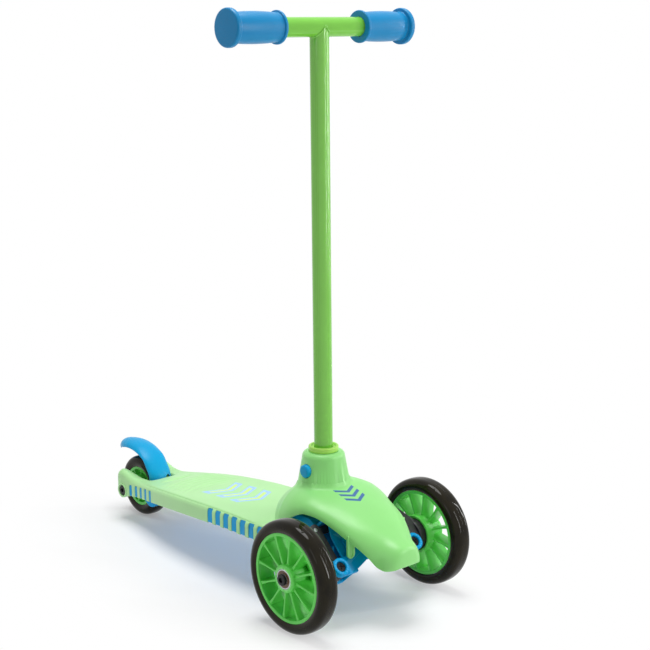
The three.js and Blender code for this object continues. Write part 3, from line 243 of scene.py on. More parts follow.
def solid(verts, faces):
    """A closed mesh with its faces turned out."""
    mesh = bpy.data.meshes.new("solid")
    mesh.from_pydata([tuple(v) for v in verts], [], faces)
    work = bmesh.new()
    work.from_mesh(mesh)
    bmesh.ops.remove_doubles(work, verts=work.verts, dist=1e-5)
    bmesh.ops.recalc_face_normals(work, faces=work.faces)
    work.to_mesh(mesh)
    work.free()
    return in_scene("solid", mesh)


def turned(profile, place, steps=ROUND, ring=False, radii=0, corner=4, sign=1):
    """A profile of radius and height turned about the frame's z axis, its corners rounded.

    A ring's profile is closed. The sign says which way the heights go.
    """
    verts, rows = [], []
    for radius, height in rounded(profile, radii, ring, corner):
        height *= sign
        if radius < 1e-6:
            rows.append([len(verts)] * steps)
            verts.append(place @ Vector((0, 0, height)))
            continue
        rows.append(list(range(len(verts), len(verts) + steps)))
        for i in range(steps):
            angle = tau * i / steps
            spot = (radius * cos(angle), radius * sin(angle), height)
            verts.append(place @ Vector(spot))
    faces = []
    for low, high in zip(rows, rows[1:] + rows[:1] if ring else rows[1:]):
        for i in range(steps):
            j = (i + 1) % steps
            corners = dict.fromkeys((low[i], low[j], high[j], high[i]))
            if len(corners) > 2:
                faces.append(tuple(corners))
    return solid(verts, faces)


def rod(radius, low, high, place, soft=0.0, steps=ROUND):
    """A round bar between two heights in either order, with its two edges rounded."""
    low, high = sorted((low, high))
    return turned(rectangle(0, low, radius, high), place, steps, radii=[0, soft, soft, 0])


def tube(bore, radius, low, high, place, soft=0.0, steps=ROUND):
    low, high = sorted((low, high))
    return turned(rectangle(bore, low, radius, high), place, steps, True, soft)


def loft(rings, ring=False):
    """A solid through closed rings of equal length, with flat ends or closed in itself."""
    rings = np.array(rings, float)
    rows, count = rings.shape[:2]
    faces = []
    for row in range(rows if ring else rows - 1):
        for i in range(count):
            j = (i + 1) % count
            low, high = row * count, (row + 1) % rows * count
            faces.append((low + i, low + j, high + j, high + i))
    if not ring:
        faces.append(tuple(range(count))[::-1])
        faces.append(tuple(range((rows - 1) * count, rows * count)))
    return solid(rings.reshape(-1, 3), faces)


def grown(outline, distance):
    """A closed flat outline moved outwards by a distance."""
    outline = np.array(outline, float)
    after = np.roll(outline, -1, axis=0)
    area = 0.5 * np.sum(outline[:, 0] * after[:, 1] - after[:, 0] * outline[:, 1])

    def unit(runs):
        return runs / np.maximum(norm(runs, axis=1, keepdims=True), 1e-9)

    ahead, behind = unit(after - outline), unit(outline - np.roll(outline, 1, axis=0))
    turn = unit(ahead + behind)
    normal = np.stack([turn[:, 1], -turn[:, 0]], axis=1) * np.sign(area)
    miter = np.clip(np.abs((turn * ahead).sum(axis=1)), 0.5, 1)
    return outline + normal * (distance / miter)[:, None]


def plate(outline, low, high, place, soft=0.0, radii=0, corner=4):
    """A flat plate between two heights, with its outer edges and its corners rounded."""
    outline = rounded(outline, radii, True, corner)
    levels = [(low, 0.0), (high, 0.0)]
    if soft > 0:
        levels = [(low + soft - soft * c, soft - soft * s) for c, s in arc(3)]
        levels += [(low + high - z, inset) for z, inset in reversed(levels)]
    return loft([[place @ Vector((x, y, level)) for x, y in grown(outline, -inset)]
                 for level, inset in levels])


def box(low, high, place=Matrix.Identity(4), soft=0.0):
    """A block between two opposite corners, given in any order."""
    low, high = zip(*(sorted(pair) for pair in zip(low, high)))
    outline = rectangle(*low[:2], *high[:2])
    return plate(outline, low[2], high[2], place, soft, 1.8 * soft, 3)


def combine(operation, base, *others):
    """Joins or cuts solids. The others are used up."""
    for other in others:
        modifier = base.modifiers.new("part", "BOOLEAN")
        modifier.operation = operation
        modifier.solver = "MANIFOLD"
        modifier.object = other
    graph = bpy.context.evaluated_depsgraph_get()
    mesh = bpy.data.meshes.new_from_object(base.evaluated_get(graph))
    base.modifiers.clear()
    base.data = mesh
    for other in others:
        bpy.data.objects.remove(other)
    return base


join, cut, overlap = (partial(combine, kind) for kind in ("UNION", "DIFFERENCE", "INTERSECT"))


def piece(made, name, body, finish, node=None, sharp=32):
    """Names a finished solid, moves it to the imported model's origin, and puts it on its body."""
    slot, material = finish
    place = Matrix.Diagonal((METRE, METRE, METRE, 1)) @ Matrix.Translation((0, ORIGIN_SHIFT, 0))
    made.data.transform(place)
    made.name = made.data.name = name
    dress(made, material, sharp)
    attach(made, body)
    if node:
        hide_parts(node)


def dress(made, material, sharp):
    """Gives a piece its material, and smooth shading between edges sharper than an angle."""
    made.data.polygons.foreach_set("use_smooth", [True] * len(made.data.polygons))
    made.data.set_sharp_from_angle(angle=radians(sharp))
    made.data.materials.clear()
    made.data.materials.append(material)


# Finishes


def linear(red, green, blue):
    """A colour as it looks on a screen, in the render's own linear values."""
    shares = [c / 255 for c in (red, green, blue)]
    return (*[c / 12.92 if c <= 0.04045 else ((c + 0.055) / 1.055) ** 2.4 for c in shares], 1)


def add(tree, kind, settings=None, **inputs):
    """A node with its settings, and its inputs by name or number as values or links."""
    made = tree.nodes.new("ShaderNode" + kind)
    for key, value in (settings or {}).items():
        setattr(made, key, value)
    for key, value in inputs.items():
        socket = made.inputs[int(key[1:]) if key[0] == "_" else key.replace("_", " ")]
        if isinstance(value, bpy.types.NodeSocket):
            tree.links.new(value, socket)
        else:
            socket.default_value = value
    return made


def find(tree, kind):
    return next(n for n in tree.nodes if n.type == kind)


def put(tree, sockets, **links):
    """Links values into sockets by their names."""
    for key, value in links.items():
        tree.links.new(value, sockets[key.replace("_", " ")])


def calc(tree, operation, a, b=0.0, c=0.0):
    return add(tree, "Math", {"operation": operation}, _0=a, _1=b, _2=c).outputs[0]


def scaled(tree, vector, shares):
    return add(tree, "VectorMath", {"operation": "MULTIPLY"}, _0=vector, _1=shares).outputs[0]


def mix_colour(tree, factor, a, b):
    return add(tree, "Mix", {"data_type": "RGBA"}, _0=factor, _6=a, _7=b).outputs[2]


def ramp(tree, value, low, high, out_low=0.0, out_high=1.0):
    made = add(tree, "MapRange", {"interpolation_type": "SMOOTHSTEP"},
               _0=value, _1=low, _2=high, _3=out_low, _4=out_high)
    return made.outputs[0]


def over(tree):
    """Places on the object, in metres."""
    return add(tree, "TexCoord").outputs["Object"]


def noise(tree, where, scale, detail):
    return add(tree, "TexNoise", Vector=where, Scale=scale, Detail=detail).outputs["Fac"]


def uneven(tree, level, waves, share):
    """A level that goes up and down with a noise."""
    return calc(tree, "MULTIPLY_ADD", calc(tree, "SUBTRACT", waves, 0.5), share, level)


def bump(tree, depth, height):
    return add(tree, "Bump", Strength=depth, Distance=0.0002, Height=height).outputs[0]


SOCKETS = {"Colour": "NodeSocketColor", "Normal": "NodeSocketVector", "Along": "NodeSocketVector"}


def group(name, values, results):
    """An empty node group with named inputs, each with its value, and named outputs."""
    tree = bpy.data.node_groups.new(name, "ShaderNodeTree")
    for way, labels in (("INPUT", values), ("OUTPUT", results)):
        for label in labels:
            kind = SOCKETS.get(label, "NodeSocketFloat")
            socket = tree.interface.new_socket(label, in_out=way, socket_type=kind)
            if way == "INPUT" and values[label] is not None:
                socket.default_value = values[label]
    ends = tree.nodes.new("NodeGroupInput"), tree.nodes.new("NodeGroupOutput")
    return tree, ends[0].outputs, ends[1].inputs


def moulded_skin():
    """Fine grain, cloudy tone and uneven gloss of an injection moulding."""
    inputs = {"Colour": None, "Gloss": 0.4, "Grain size": 1400.0, "Grain depth": 0.12,
              "Cloud": 0.05}
    tree, given, out = group("moulded_skin", inputs, ("Colour", "Roughness", "Normal"))
    where = over(tree)
    tone = uneven(tree, 0.0, noise(tree, where, 28.0, 3.0), given["Cloud"])
    bright = calc(tree, "MULTIPLY_ADD", tone, 2.0, 1.0)
    fine = noise(tree, where, given["Grain size"], 2.0)
    pits = add(tree, "TexVoronoi", Vector=where, Scale=given["Grain size"]).outputs["Distance"]
    put(tree, out,
        Colour=add(tree, "HueSaturation", Color=given["Colour"], Value=bright).outputs[0],
        Roughness=uneven(tree, given["Gloss"], noise(tree, where, 90.0, 4.0), 0.14),
        Normal=bump(tree, given["Grain depth"], calc(tree, "MULTIPLY_ADD", pits, 0.6, fine)))
    return tree


def painted_edge_light_hollow_shade():
    """Painted highlight along outer edges and painted shade in hollows, found by pointiness."""
    inputs = {"Colour": None, "Edge": 0.25, "Hollow": 0.3}
    tree, given, out = group("painted_edge_light_hollow_shade", inputs, ("Colour",))
    bend = add(tree, "NewGeometry").outputs["Pointiness"]
    tone = given["Colour"]
    # A lighter copy of the colour on edges as painted highlight, a darker one in hollows as painted
    # shade
    for share, start, end, saturation, value in (
        ("Edge", 0.52, 0.60, 0.8, 1.25), ("Hollow", 0.49, 0.42, 1.1, 0.55),
    ):
        other = add(tree, "HueSaturation", Color=given["Colour"], Saturation=saturation,
                    Value=value)
        painted_share = calc(tree, "MULTIPLY", ramp(tree, bend, start, end), given[share])
        tone = mix_colour(tree, painted_share, tone, other.outputs[0])
    put(tree, out, Colour=tone)
    return tree


def chevrons():
    """A mask of printed chevrons across the middle: plain bars bent about x = 0."""
    inputs = {"Start": 0.0, "Pitch": 0.02, "Bar": 0.008, "Slope": 0.6, "Half width": 0.025,
              "Length": 0.06}
    tree, given, out = group("chevrons", inputs, ("Mask",))
    split = add(tree, "SeparateXYZ", Vector=over(tree)).outputs
    beside = calc(tree, "ABSOLUTE", split[0])
    run = calc(tree, "SUBTRACT", calc(tree, "SUBTRACT", split[1], given["Start"]),
               calc(tree, "MULTIPLY", beside, given["Slope"]))
    mask = calc(tree, "GREATER_THAN", run, 0.0)
    phase = calc(tree, "MODULO", run, given["Pitch"])
    for value, limit in ((phase, "Bar"), (run, "Length"), (beside, "Half width")):
        mask = calc(tree, "MULTIPLY", mask, calc(tree, "LESS_THAN", value, given[limit]))
    put(tree, out, Mask=mask)
    return tree


def fine_lines():
    """Turning or drawing lines on bare metal, along one axis."""
    inputs = {"Along": (1.0, 1.0, 1.0), "Depth": 0.1, "Gloss": 0.3}
    tree, given, out = group("fine_lines", inputs, ("Roughness", "Normal"))
    lines = noise(tree, scaled(tree, over(tree), given["Along"]), 900.0, 2.0)
    put(tree, out, Roughness=uneven(tree, given["Gloss"], lines, 0.25),
        Normal=bump(tree, given["Depth"], lines))
    return tree


SKIN, PAINTED_EDGE_LIGHT, CHEVRONS, LINES = moulded_skin(), painted_edge_light_hollow_shade(), chevrons(), fine_lines()


def use(tree, kind, **inputs):
    return add(tree, "Group", {"node_tree": kind}, **inputs).outputs


def shader(name, **plain):
    """A material with one Principled shader, and values that are the same all over it."""
    made = bpy.data.materials.new(name)
    made.use_nodes = True
    principled = find(made.node_tree, "BSDF_PRINCIPLED")
    for key, value in plain.items():
        principled.inputs[key.replace("_", " ")].default_value = value
    return made, made.node_tree, principled


def moulded(made, tree, principled, colour, gloss, grain, depth, cloud):
    """Ends a material with the moulded skin."""
    skin = use(tree, SKIN, Colour=colour, Gloss=gloss, Grain_size=grain, Grain_depth=depth,
               Cloud=cloud)
    put(tree, principled.inputs, Base_Color=skin["Colour"], Roughness=skin["Roughness"],
        Normal=skin["Normal"])
    return made


def plastic(name, colour, gloss, grain=1400.0, depth=0.12, cloud=0.05, edge=0.25, hollow=0.3,
            prints=(), **plain):
    """A moulded plastic or rubber, with a painted highlight on outer edges and painted shade in
    hollows by the edge and hollow shares. Prints are chevrons, each with its colour.
    """
    made, tree, principled = shader(name, **plain)
    base = linear(*colour)
    for print_colour, values in prints:
        base = mix_colour(tree, use(tree, CHEVRONS, **values)["Mask"], base, linear(*print_colour))
    # Painted highlight on outer edges and painted shade in hollows
    with_painted_light = use(tree, PAINTED_EDGE_LIGHT, Colour=base, Edge=edge, Hollow=hollow)["Colour"]
    return moulded(made, tree, principled, with_painted_light, gloss, grain, depth, cloud)


def tyre_finish():
    """Smoky cast tread: nearly black with a brown cast, with a painted highlight along its edges,
    glossy all over.
    """
    made, tree, principled = shader("smoky_tread", Specular_IOR_Level=0.15)
    bend = add(tree, "NewGeometry").outputs["Pointiness"]
    cloud = ramp(tree, noise(tree, over(tree), 60.0, 4.0), 0.35, 0.65)
    mottled = mix_colour(tree, cloud, linear(18, 15, 6), linear(30, 26, 13))
    # Painted highlight: a lighter brown on the convex edges, found by pointiness
    with_painted_light = mix_colour(tree, ramp(tree, bend, 0.5, 0.56), mottled, linear(44, 39, 24))
    return moulded(made, tree, principled, with_painted_light, 0.07, 700.0, 0.01, 0.1)


def metal(name, colour, gloss, along, depth=0.1, metallic=1.0):
    made, tree, principled = shader(name, Metallic=metallic)
    lines = use(tree, LINES, Along=along, Depth=depth, Gloss=gloss)
    # The base colour gets a painted highlight on outer edges and painted shade in hollows
    put(tree, principled.inputs, Roughness=lines["Roughness"], Normal=lines["Normal"],
        Base_Color=use(tree, PAINTED_EDGE_LIGHT, Colour=linear(*colour), Edge=0.4, Hollow=0.5)["Colour"])
    return made


def chevron_print(colour, start, pitch, bar, half_width, length):
    return colour, {"Start": start, "Pitch": pitch, "Bar": bar, "Slope": 0.55,
                    "Half_width": half_width, "Length": length}


DECK_PRINTS = (chevron_print((158, 205, 250), -0.0265, 0.028, 0.015, 0.027, 0.078),
               chevron_print((206, 240, 128), -0.0215, 0.028, 0.006, 0.021, 0.068))
HOOD_PRINTS = (chevron_print((20, 96, 160), -0.1985, 0.009, 0.0042, 0.014, 0.024),)

# Every plastic and metal finish below has a painted highlight on outer edges and painted shade in
# hollows; edge and hollow set how much
# Each finish is a slot of the frame and its material
# The deck is paler than the hood of the same plastic: a painted sheen for the light that grazes its
# top
PALE_DECK_PAINTED_SHEEN = "pale_green", plastic("pale_deck_plastic_painted_sheen", (172, 228, 156), 0.42, prints=DECK_PRINTS,
                                  Sheen_Weight=0.15)
PALE_HOOD = "pale_green", plastic("pale_hood_plastic", (142, 222, 124), 0.36, prints=HOOD_PRINTS,
                                  Sheen_Weight=0.15)
LIME = "lime", plastic("lime_plastic", (168, 226, 92), 0.38)
# The hub gets a strong painted highlight on its blade and rim edges and painted shade in its
# hollows
GREEN_HUB = "hub_green", plastic("hub_plastic", (96, 216, 84), 0.32, edge=0.8, hollow=0.5)
GRIP_BLUE = "grip_blue", plastic("grip_rubber", (0, 130, 186), 0.36, grain=900.0, depth=0.25,
                                 cloud=0.12, Specular_IOR_Level=0.3)
SKY_BLUE = "fender_blue", plastic("sky_plastic", (0, 158, 212), 0.36, Specular_IOR_Level=0.2)
CHASSIS_BLUE = "chassis_blue", plastic("chassis_plastic", (0, 158, 220), 0.34, edge=0.35,
                                       hollow=0.4, Specular_IOR_Level=0.08)
BLACK_PLASTIC = "black_plastic", plastic("black_plastic", (38, 36, 40), 0.46, grain=1000.0,
                                         depth=0.2)
BUSH_RUBBER = "bush_rubber", plastic("bush_rubber", (26, 26, 27), 0.6, grain=800.0, depth=0.3)
SHIELD = "bush_rubber", plastic("bearing_shield", (104, 74, 50), 0.35, grain=600.0, depth=0.1)
TUBE_PAINT = "tube_green", plastic(
    "tube_paint", (118, 197, 62), 0.34, grain=500.0, depth=0.04, edge=0.2, hollow=0.2,
    Coat_Weight=1.0, Coat_Roughness=0.05, Specular_IOR_Level=0.0)
TYRE = "tyre", tyre_finish()
STEEL = "steel", metal("plated_steel", (186, 188, 192), 0.30, (1.0, 1.0, 6.0))
RACE_STEEL = "bearing_steel", metal("race_steel", (198, 200, 204), 0.18, (1.0, 1.0, 1.0), 0.05)
BLACK_STEEL = "black_steel", metal("blackened_steel", (34, 34, 37), 0.34, (3.0, 1.0, 1.0),
                                   metallic=0.6)


# Deck

DECK_SHARES = [0, 0.011, 0.028, 0.061, 0.128, 0.24, 0.351, 0.463, 0.575, 0.658, 0.742, 0.826,
               0.8675, 0.909, 0.951, 0.979, 0.993, 1]
DECK_WIDTHS = [0.9, 0.95, 0.975, 0.99, 0.995, 1, 0.992, 0.96, 0.908, 0.84, 0.75, 0.66,
               0.62, 0.602, 0.597, 0.597, 0.585, 0.565]
DECK_TOPS = [0.969, 0.989, 0.997, 1, 1, 1, 0.984, 0.952, 0.909, 0.867, 0.815, 0.76,
             0.739, 0.752, 0.801, 0.832, 0.807, 0.733]
DECK_DISHES = DECK_TOPS[:12] + [0.72, 0.714, 0.727, 0.745, 0.72, 0.67]
DECK_SKIRTS = [0.758, 0.754, 0.752, 0.752, 0.752, 0.75, 0.733, 0.699, 0.656, 0.612, 0.559, 0.507,
               0.478, 0.453, 0.407, 0.3975, 0.435, 0.509]
DECK_PLACES = [DECK_START + share * (DECK_REAR - DECK_START) for share in DECK_SHARES]
deck_side, deck_top, deck_dish, deck_skirt = (
    smooth_curve(DECK_PLACES, np.array(shares) * size)
    for shares, size in ((DECK_WIDTHS, DECK_HALF_WIDTH), (DECK_TOPS, DECK_HEIGHT),
                         (DECK_DISHES, DECK_HEIGHT), (DECK_SKIRTS, DECK_HEIGHT)))


def stations(low, high, pitch, *fine):
    """Places along the scooter: even ones, and closer ones within each fine stretch."""
    places = set(np.linspace(low, high, max(2, round((high - low) / pitch) + 1)).round(3))
    for start, end, step in fine:
        places |= set(np.arange(start, end, step).round(3))
    return sorted(p for p in places if low <= p <= high)


PANEL_IN = 3.3
PANEL_FRONT = 107
PANEL_CORNER = 16
LENS_BACK = 350


SEAM_DEPTH, SEAM_WIDTH = 0.9, 0.8
RIPPLE_DEPTH, RIPPLE_PITCH = 0.6, 10.5


def deck_relief(x, back):
    """How far the deck's skin lies above its plain form: the tread panel's seam and ripples."""
    across = abs(x) - (deck_side(back) - PANEL_IN - PANEL_CORNER)
    ahead = PANEL_FRONT + PANEL_CORNER - back
    outside = hypot(max(across, 0), max(ahead, 0)) + min(max(across, ahead), 0) - PANEL_CORNER
    seam = -SEAM_DEPTH * exp(-((outside / SEAM_WIDTH) ** 2)) * (1 - smooth_step(350, 372, back))
    fade = smooth_step(262, 280, back) * (1 - smooth_step(322, 345, back))
    fade *= 1 - smooth_step(34, 46, abs(x))
    reach = back + abs(x) ** 2 / 160
    return seam + RIPPLE_DEPTH * fade * sin(reach / RIPPLE_PITCH * tau)


def deck_ring(back, inset=0.0, drop=0.0, bend=18, across=14, relief=False):
    """A closed section of the deck, from one foot over the top to the other."""
    out, top = deck_side(back) - inset, deck_top(back) - inset
    edge = DECK_EDGE_RADIUS - inset
    foot = deck_skirt(back) - drop
    half = [(out - 0.6, foot), (out, foot + 0.6)] if relief else [(out, foot)]
    for c, s in arc(bend):
        point = np.array([out - edge + edge * c, top - edge + edge * s])
        if relief:
            point += np.array([c, s]) * deck_relief(point[0], back)
        half.append(tuple(point))
    flat, middle = out - edge, min(FORK_HALF_GAP, (out - edge) / 2)
    for i in range(1, across + 1):
        x = flat * (1 - i / across)
        sink = smooth_step(0, 1, (flat - x) / (flat - middle))
        z = top + (deck_dish(back) - inset - top) * sink
        half.append((x, z + (deck_relief(x, back) if relief else 0)))
    ring = half + [(-x, z) for x, z in reversed(half[:-1])]
    return [(x, back, z) for x, z in ring]


def skirt_point(back, climb, depth, sign):
    """A point of the deck's side by its climb up the skin from the skirt's foot, and its depth."""
    out, top, low = deck_side(back), deck_top(back), deck_skirt(back)
    straight = top - DECK_EDGE_RADIUS - low
    angle = min(max((climb - straight) / DECK_EDGE_RADIUS, 0), pi / 2)
    over = max(climb - straight - DECK_EDGE_RADIUS * pi / 2, 0)
    reach = DECK_EDGE_RADIUS + depth
    x = out - DECK_EDGE_RADIUS + reach * cos(angle) - over
    z = low + climb if climb < straight else top - DECK_EDGE_RADIUS + reach * sin(angle)
    return (sign * x, back, z)


def slot_block(back, width, low, climb, sign, levels):
    """A block that fits a slot wrapped round the deck's side, by depths and how far it spreads."""
    outline = rectangle(-width / 2, low, width / 2, climb)
    outline = dense(rounded(outline, [0, 0, 1.8, 1.8], closed=True), 1.5)
    return loft([[skirt_point(back + y, s, depth, sign) for y, s in grown(outline, spread)]
                 for depth, spread in levels])


def eased(soft, high):
    """Levels and spreads of a cutter that rounds the upper edge of its hole."""
    return [(soft * s - soft, soft * (1 - c)) for c, s in arc(4)] + [(high, soft)]


def slot_cutter(back, width, climb, sign):
    return slot_block(back, width, -4.0, climb, sign, [(-5.0, 0.0)] + eased(0.9, 1.6))


def slot_pad(back, width, climb, sign):
    """The chassis's own wall where it fills a slot, a little below the deck's skin."""
    return slot_block(back, width - 2 * SEAT_GAP, 1.0, climb - SEAT_GAP, sign,
                      [(-4.6, 0.0), (-0.7, 0.0), (-0.3, -0.4)])


# Each slot's place, width and climb, and each screw's place and distance from the middle
SLOTS = [(198 - 15.5 * i, 9.0, 19.5) for i in range(7)]
SLOTS += [(401 - 14 * i, 6.0, 15.4) for i in range(5)]
SCREWS = [(TRAY_START + share * (CELLS_END - TRAY_START), out)
          for share, out in ((0.12, 38), (0.5, 38), (0.88, 27))]


def opening_cutter():
    """The rear wheel's opening, with its upper edge eased."""
    outline = rectangle(-FORK_HALF_GAP, FORK_GAP_FRONT, FORK_HALF_GAP, DECK_REAR + 4)
    outline = dense(rounded(outline, [6, 6, 0, 0], closed=True, steps=8), 3)
    rings = [[(x, y, 10.0) for x, y in grown(outline, 0.0)]]
    for level, spread in eased(1.4, 6.0):
        rings.append([(x, y, deck_dish(min(y, DECK_REAR)) + level)
                      for x, y in grown(outline, spread)])
    return loft(rings)


def deck_piece():
    places = stations(DECK_START, DECK_REAR, 3.0, (100, 113, 0.8), (262, 345, 1.5),
                      (425, 432.5, 0.9))
    outer = loft([deck_ring(back, relief=True) for back in places])
    inner_places = stations(DECK_START + DECK_WALL, DECK_REAR - DECK_WALL, 9.0, (418, 429, 2.5))
    hollow = loft([deck_ring(back, DECK_WALL, DECK_WALL, 6, 6) for back in inner_places])
    walls = [box((sign * FORK_HALF_GAP, FORK_WALL_FRONT, 0),
                 (sign * (FORK_HALF_GAP + FORK_WALL), DECK_REAR + 2, DECK_HEIGHT))
             for _, sign in SIDES]
    shell = cut(outer, cut(hollow, *walls))
    arm = deck_side(WHEELBASE)
    recess = [(0, arm - 3.6), (7.2, arm - 3.6), (7.2, arm + 0.4), (7.8, arm + 1.1), (7.8, arm + 3),
              (0, arm + 3)]
    bosses, cuts = [], [opening_cutter()]
    for _, sign in SIDES:
        bosses.append(rod(9.7, sign * (arm - 7), sign * (arm + 1), REAR_AXLE, 1.0, 48))
        cuts.append(turned(recess, REAR_AXLE, 48, sign=sign))
        for back, out in SCREWS:
            foot, stand = deck_skirt(back) + 4.5, upright(sign * out, back)
            bosses.append(rod(4.6, foot, deck_top(back) - 1.5, stand, 0, 20))
            cuts.append(rod(SCREW_BORE, foot - 2, foot + 8.4, stand, 0, 16))
        cuts += [slot_cutter(*slot, sign) for slot in SLOTS]
    lens = [(0, -1.6), (3.5, -1.45), (7, -1.0), (9.6, -0.3), (10.6, 0.1), (11.4, 1.5), (0, 1.5)]
    place = upright(0, LENS_BACK, deck_dish(LENS_BACK)) @ Matrix.Diagonal((2.3, 0.6, 1, 1))
    cuts += [rod(AXLE_RADIUS + SEAT_GAP, -arm - 2, arm + 2, REAR_AXLE, 0, 32),
             rod(PIVOT_BORE, -PIVOT_END, PIVOT_END, BRAKE_PIVOT, 0, 24),
             box((-37.3, DECK_START - 2, 0), (37.3, 80.3, 120)), turned(lens, place, 48)]
    return cut(join(shell, *bosses), *cuts)


piece(deck_piece(), "deck", "frame", PALE_DECK_PAINTED_SHEEN, "deck_shell", 38)


# Hood and its tower

HOOD_SHARES = [0, 0.007, 0.024, 0.052, 0.09, 0.128, 0.171, 0.213, 0.265, 0.346, 0.403, 0.455,
               0.507, 0.564, 0.63, 0.697, 0.744, 0.796, 0.844, 0.891, 0.938, 0.976, 1]
HOOD_WIDTHS = [0.2, 0.295, 0.37, 0.432, 0.483, 0.55, 0.627, 0.695, 0.754, 0.805, 0.856, 0.898,
               0.94, 0.975, 1, 0.983, 0.915, 0.788, 0.636, 0.475, 0.305, 0.153, 0.05]
HOOD_TOPS = [0.63, 0.652, 0.672, 0.694, 0.719, 0.749, 0.787, 0.82, 0.858, 0.906, 0.936, 0.959,
             0.978, 0.993, 1, 0.989, 0.959, 0.91, 0.854, 0.79, 0.723, 0.662, 0.616]
HOOD_LOWS = [0.515, 0.5, 0.491, 0.483, 0.5, 0.56, 0.622, 0.67, 0.715, 0.772, 0.809, 0.83,
             0.835, 0.805, 0.735, 0.65] + [0.605] * 7
HOOD_PLACES = [share * (NOSE_REACH + HOOD_TAIL) - NOSE_REACH for share in HOOD_SHARES]
hood_side, hood_top, hood_edge = (
    smooth_curve(HOOD_PLACES, np.array(shares) * size)
    for shares, size in ((HOOD_WIDTHS, HOOD_HALF_WIDTH), (HOOD_TOPS, HOOD_HEIGHT),
                         (HOOD_LOWS, HOOD_HEIGHT)))
HOOD_ROUNDNESS = 2.5
TOWER_SLOPE = (TOWER_FOOT_RADIUS - TOWER_TOP_RADIUS) / (TOWER_TOP - TOWER_RIM - TOWER_FOOT)
TOWER_BASE = HOOD_HEIGHT - TOWER_FOOT_RADIUS / 2 - HOOD_WALL - 2
FILLET = 5.0
LIP = 0.8
TAB_RADIUS, TAB_FOOT, TAB_OUT, TAB_BACK = 5.3, 72, 38, -22.5


def tower_radius(z):
    return TOWER_FOOT_RADIUS - (z - TOWER_FOOT) * TOWER_SLOPE


def hood_low(back):
    if back < DECK_START:
        return hood_edge(back)
    return max(hood_edge(back), deck_top(back) + SEAT_GAP)


def hood_ring(back, inset=0.0, drop=0.0, steps=36, fillet=False):
    """A closed section of the hood. With its fillet it also has rounded feet."""
    out, low = max(hood_side(back) - inset, 0.01), hood_low(back)
    rise = hood_top(back) - inset - low
    foot = [(out - min(LIP, out / 2), low), (out, low + LIP)] if fillet else [(out, low - drop)]
    points = list(foot)
    power = 2 / HOOD_ROUNDNESS
    for i in range(1, 2 * steps) if fillet else range(2 * steps + 1):
        angle = pi * i / (2 * steps)
        side, up = cos(angle), sin(angle)
        x = out * copysign(abs(side) ** power, side)
        z = low + rise * up**power
        if fillet and z > low + 6:
            gap = hypot(x, back - STEM_BACK) - tower_radius(z)
            if gap < FILLET:
                z += FILLET - sqrt(FILLET**2 - (FILLET - max(gap, 0)) ** 2)
        points.append((x, z))
    points += [(-x, z) for x, z in reversed(foot)]
    return [(x, back, z) for x, z in points]


def hood_tab(sign):
    """A front tab with a groove down its face."""
    low, high = TAB_FOOT + TAB_RADIUS, hood_low(TAB_BACK) + 6
    turn = [(TAB_RADIUS * cos(a), low + TAB_RADIUS * sin(a)) for a in np.linspace(-pi, 0, 13)]
    outline = [(-TAB_RADIUS, high), *turn, (TAB_RADIUS, high)]
    spot = axes((sign * TAB_OUT, TAB_BACK, 0), X, Z, -Y)
    groove = [(x * 0.5, z + 1.5 if z < high else z) for x, z in outline]
    return cut(plate(outline, -1.5, 1.5, spot, 0.5), plate(groove, 0.7, 3, spot))


def hood_piece():
    places = stations(-NOSE_REACH, HOOD_TAIL, 2.2, (-NOSE_REACH, -66, 0.6), (24, 100, 1.2))
    outer = loft([hood_ring(back, fillet=True) for back in places])
    inner_places = stations(-NOSE_REACH + HOOD_WALL, HOOD_TAIL - 4 * HOOD_WALL, 6.0)
    inner = loft([hood_ring(back, HOOD_WALL, 2.0, 16) for back in inner_places])
    rim, base = tower_radius(TOWER_TOP - TOWER_RIM), tower_radius(TOWER_BASE)
    profile = [(0, TOWER_BASE), (base, TOWER_BASE), (rim, TOWER_TOP - TOWER_RIM)]
    profile += [(rim - TOWER_RIM * (1 - c), TOWER_TOP - TOWER_RIM * (1 - s)) for c, s in arc(8)[1:]]
    cone = turned(profile + [(0, TOWER_TOP)], TOWER, 96)
    sleeve_out, core_top = TOWER_BORE + 2.6, TOWER_TOP - TOWER_RIM - HOOD_WALL
    core = [(sleeve_out, TOWER_BASE - 2), (base - HOOD_WALL, TOWER_BASE - 2),
            (tower_radius(core_top) - HOOD_WALL, core_top), (sleeve_out, core_top)]
    core = turned(core, TOWER, 64, ring=True)
    sleeve = tube(TOWER_BORE - 2, sleeve_out, TOWER_TOP - 39, core_top + HOOD_WALL, TOWER, 0, 64)
    shell = join(cut(join(outer, cone), inner, core), sleeve)
    near, far = BUTTON_RADIUS + 0.3, BUTTON_RADIUS + 1.6
    recess = [(0, -19.0), (near, -19.0), (near, -27.2), (BUTTON_RADIUS + 1.0, -27.9), (far, -32.0),
              (0, -32.0)]
    return cut(
        join(shell, *[hood_tab(sign) for _, sign in SIDES]),
        rod(TOWER_BORE, TOWER_TOP - 80, TOWER_TOP + 2, TOWER, 0, 64),
        turned(recess, BUTTON_AXIS, 48),
        rod(LATCH_BORE, -32, -TUBE_RADIUS, BUTTON_AXIS, 0, 24),
    )


piece(hood_piece(), "hood", "frame", PALE_HOOD, "front_hood", 38)


# Collar, handlebar, grips and button

SEAT = TOWER_TOP + SEAT_GAP
COLLAR_TOP = SEAT + 6


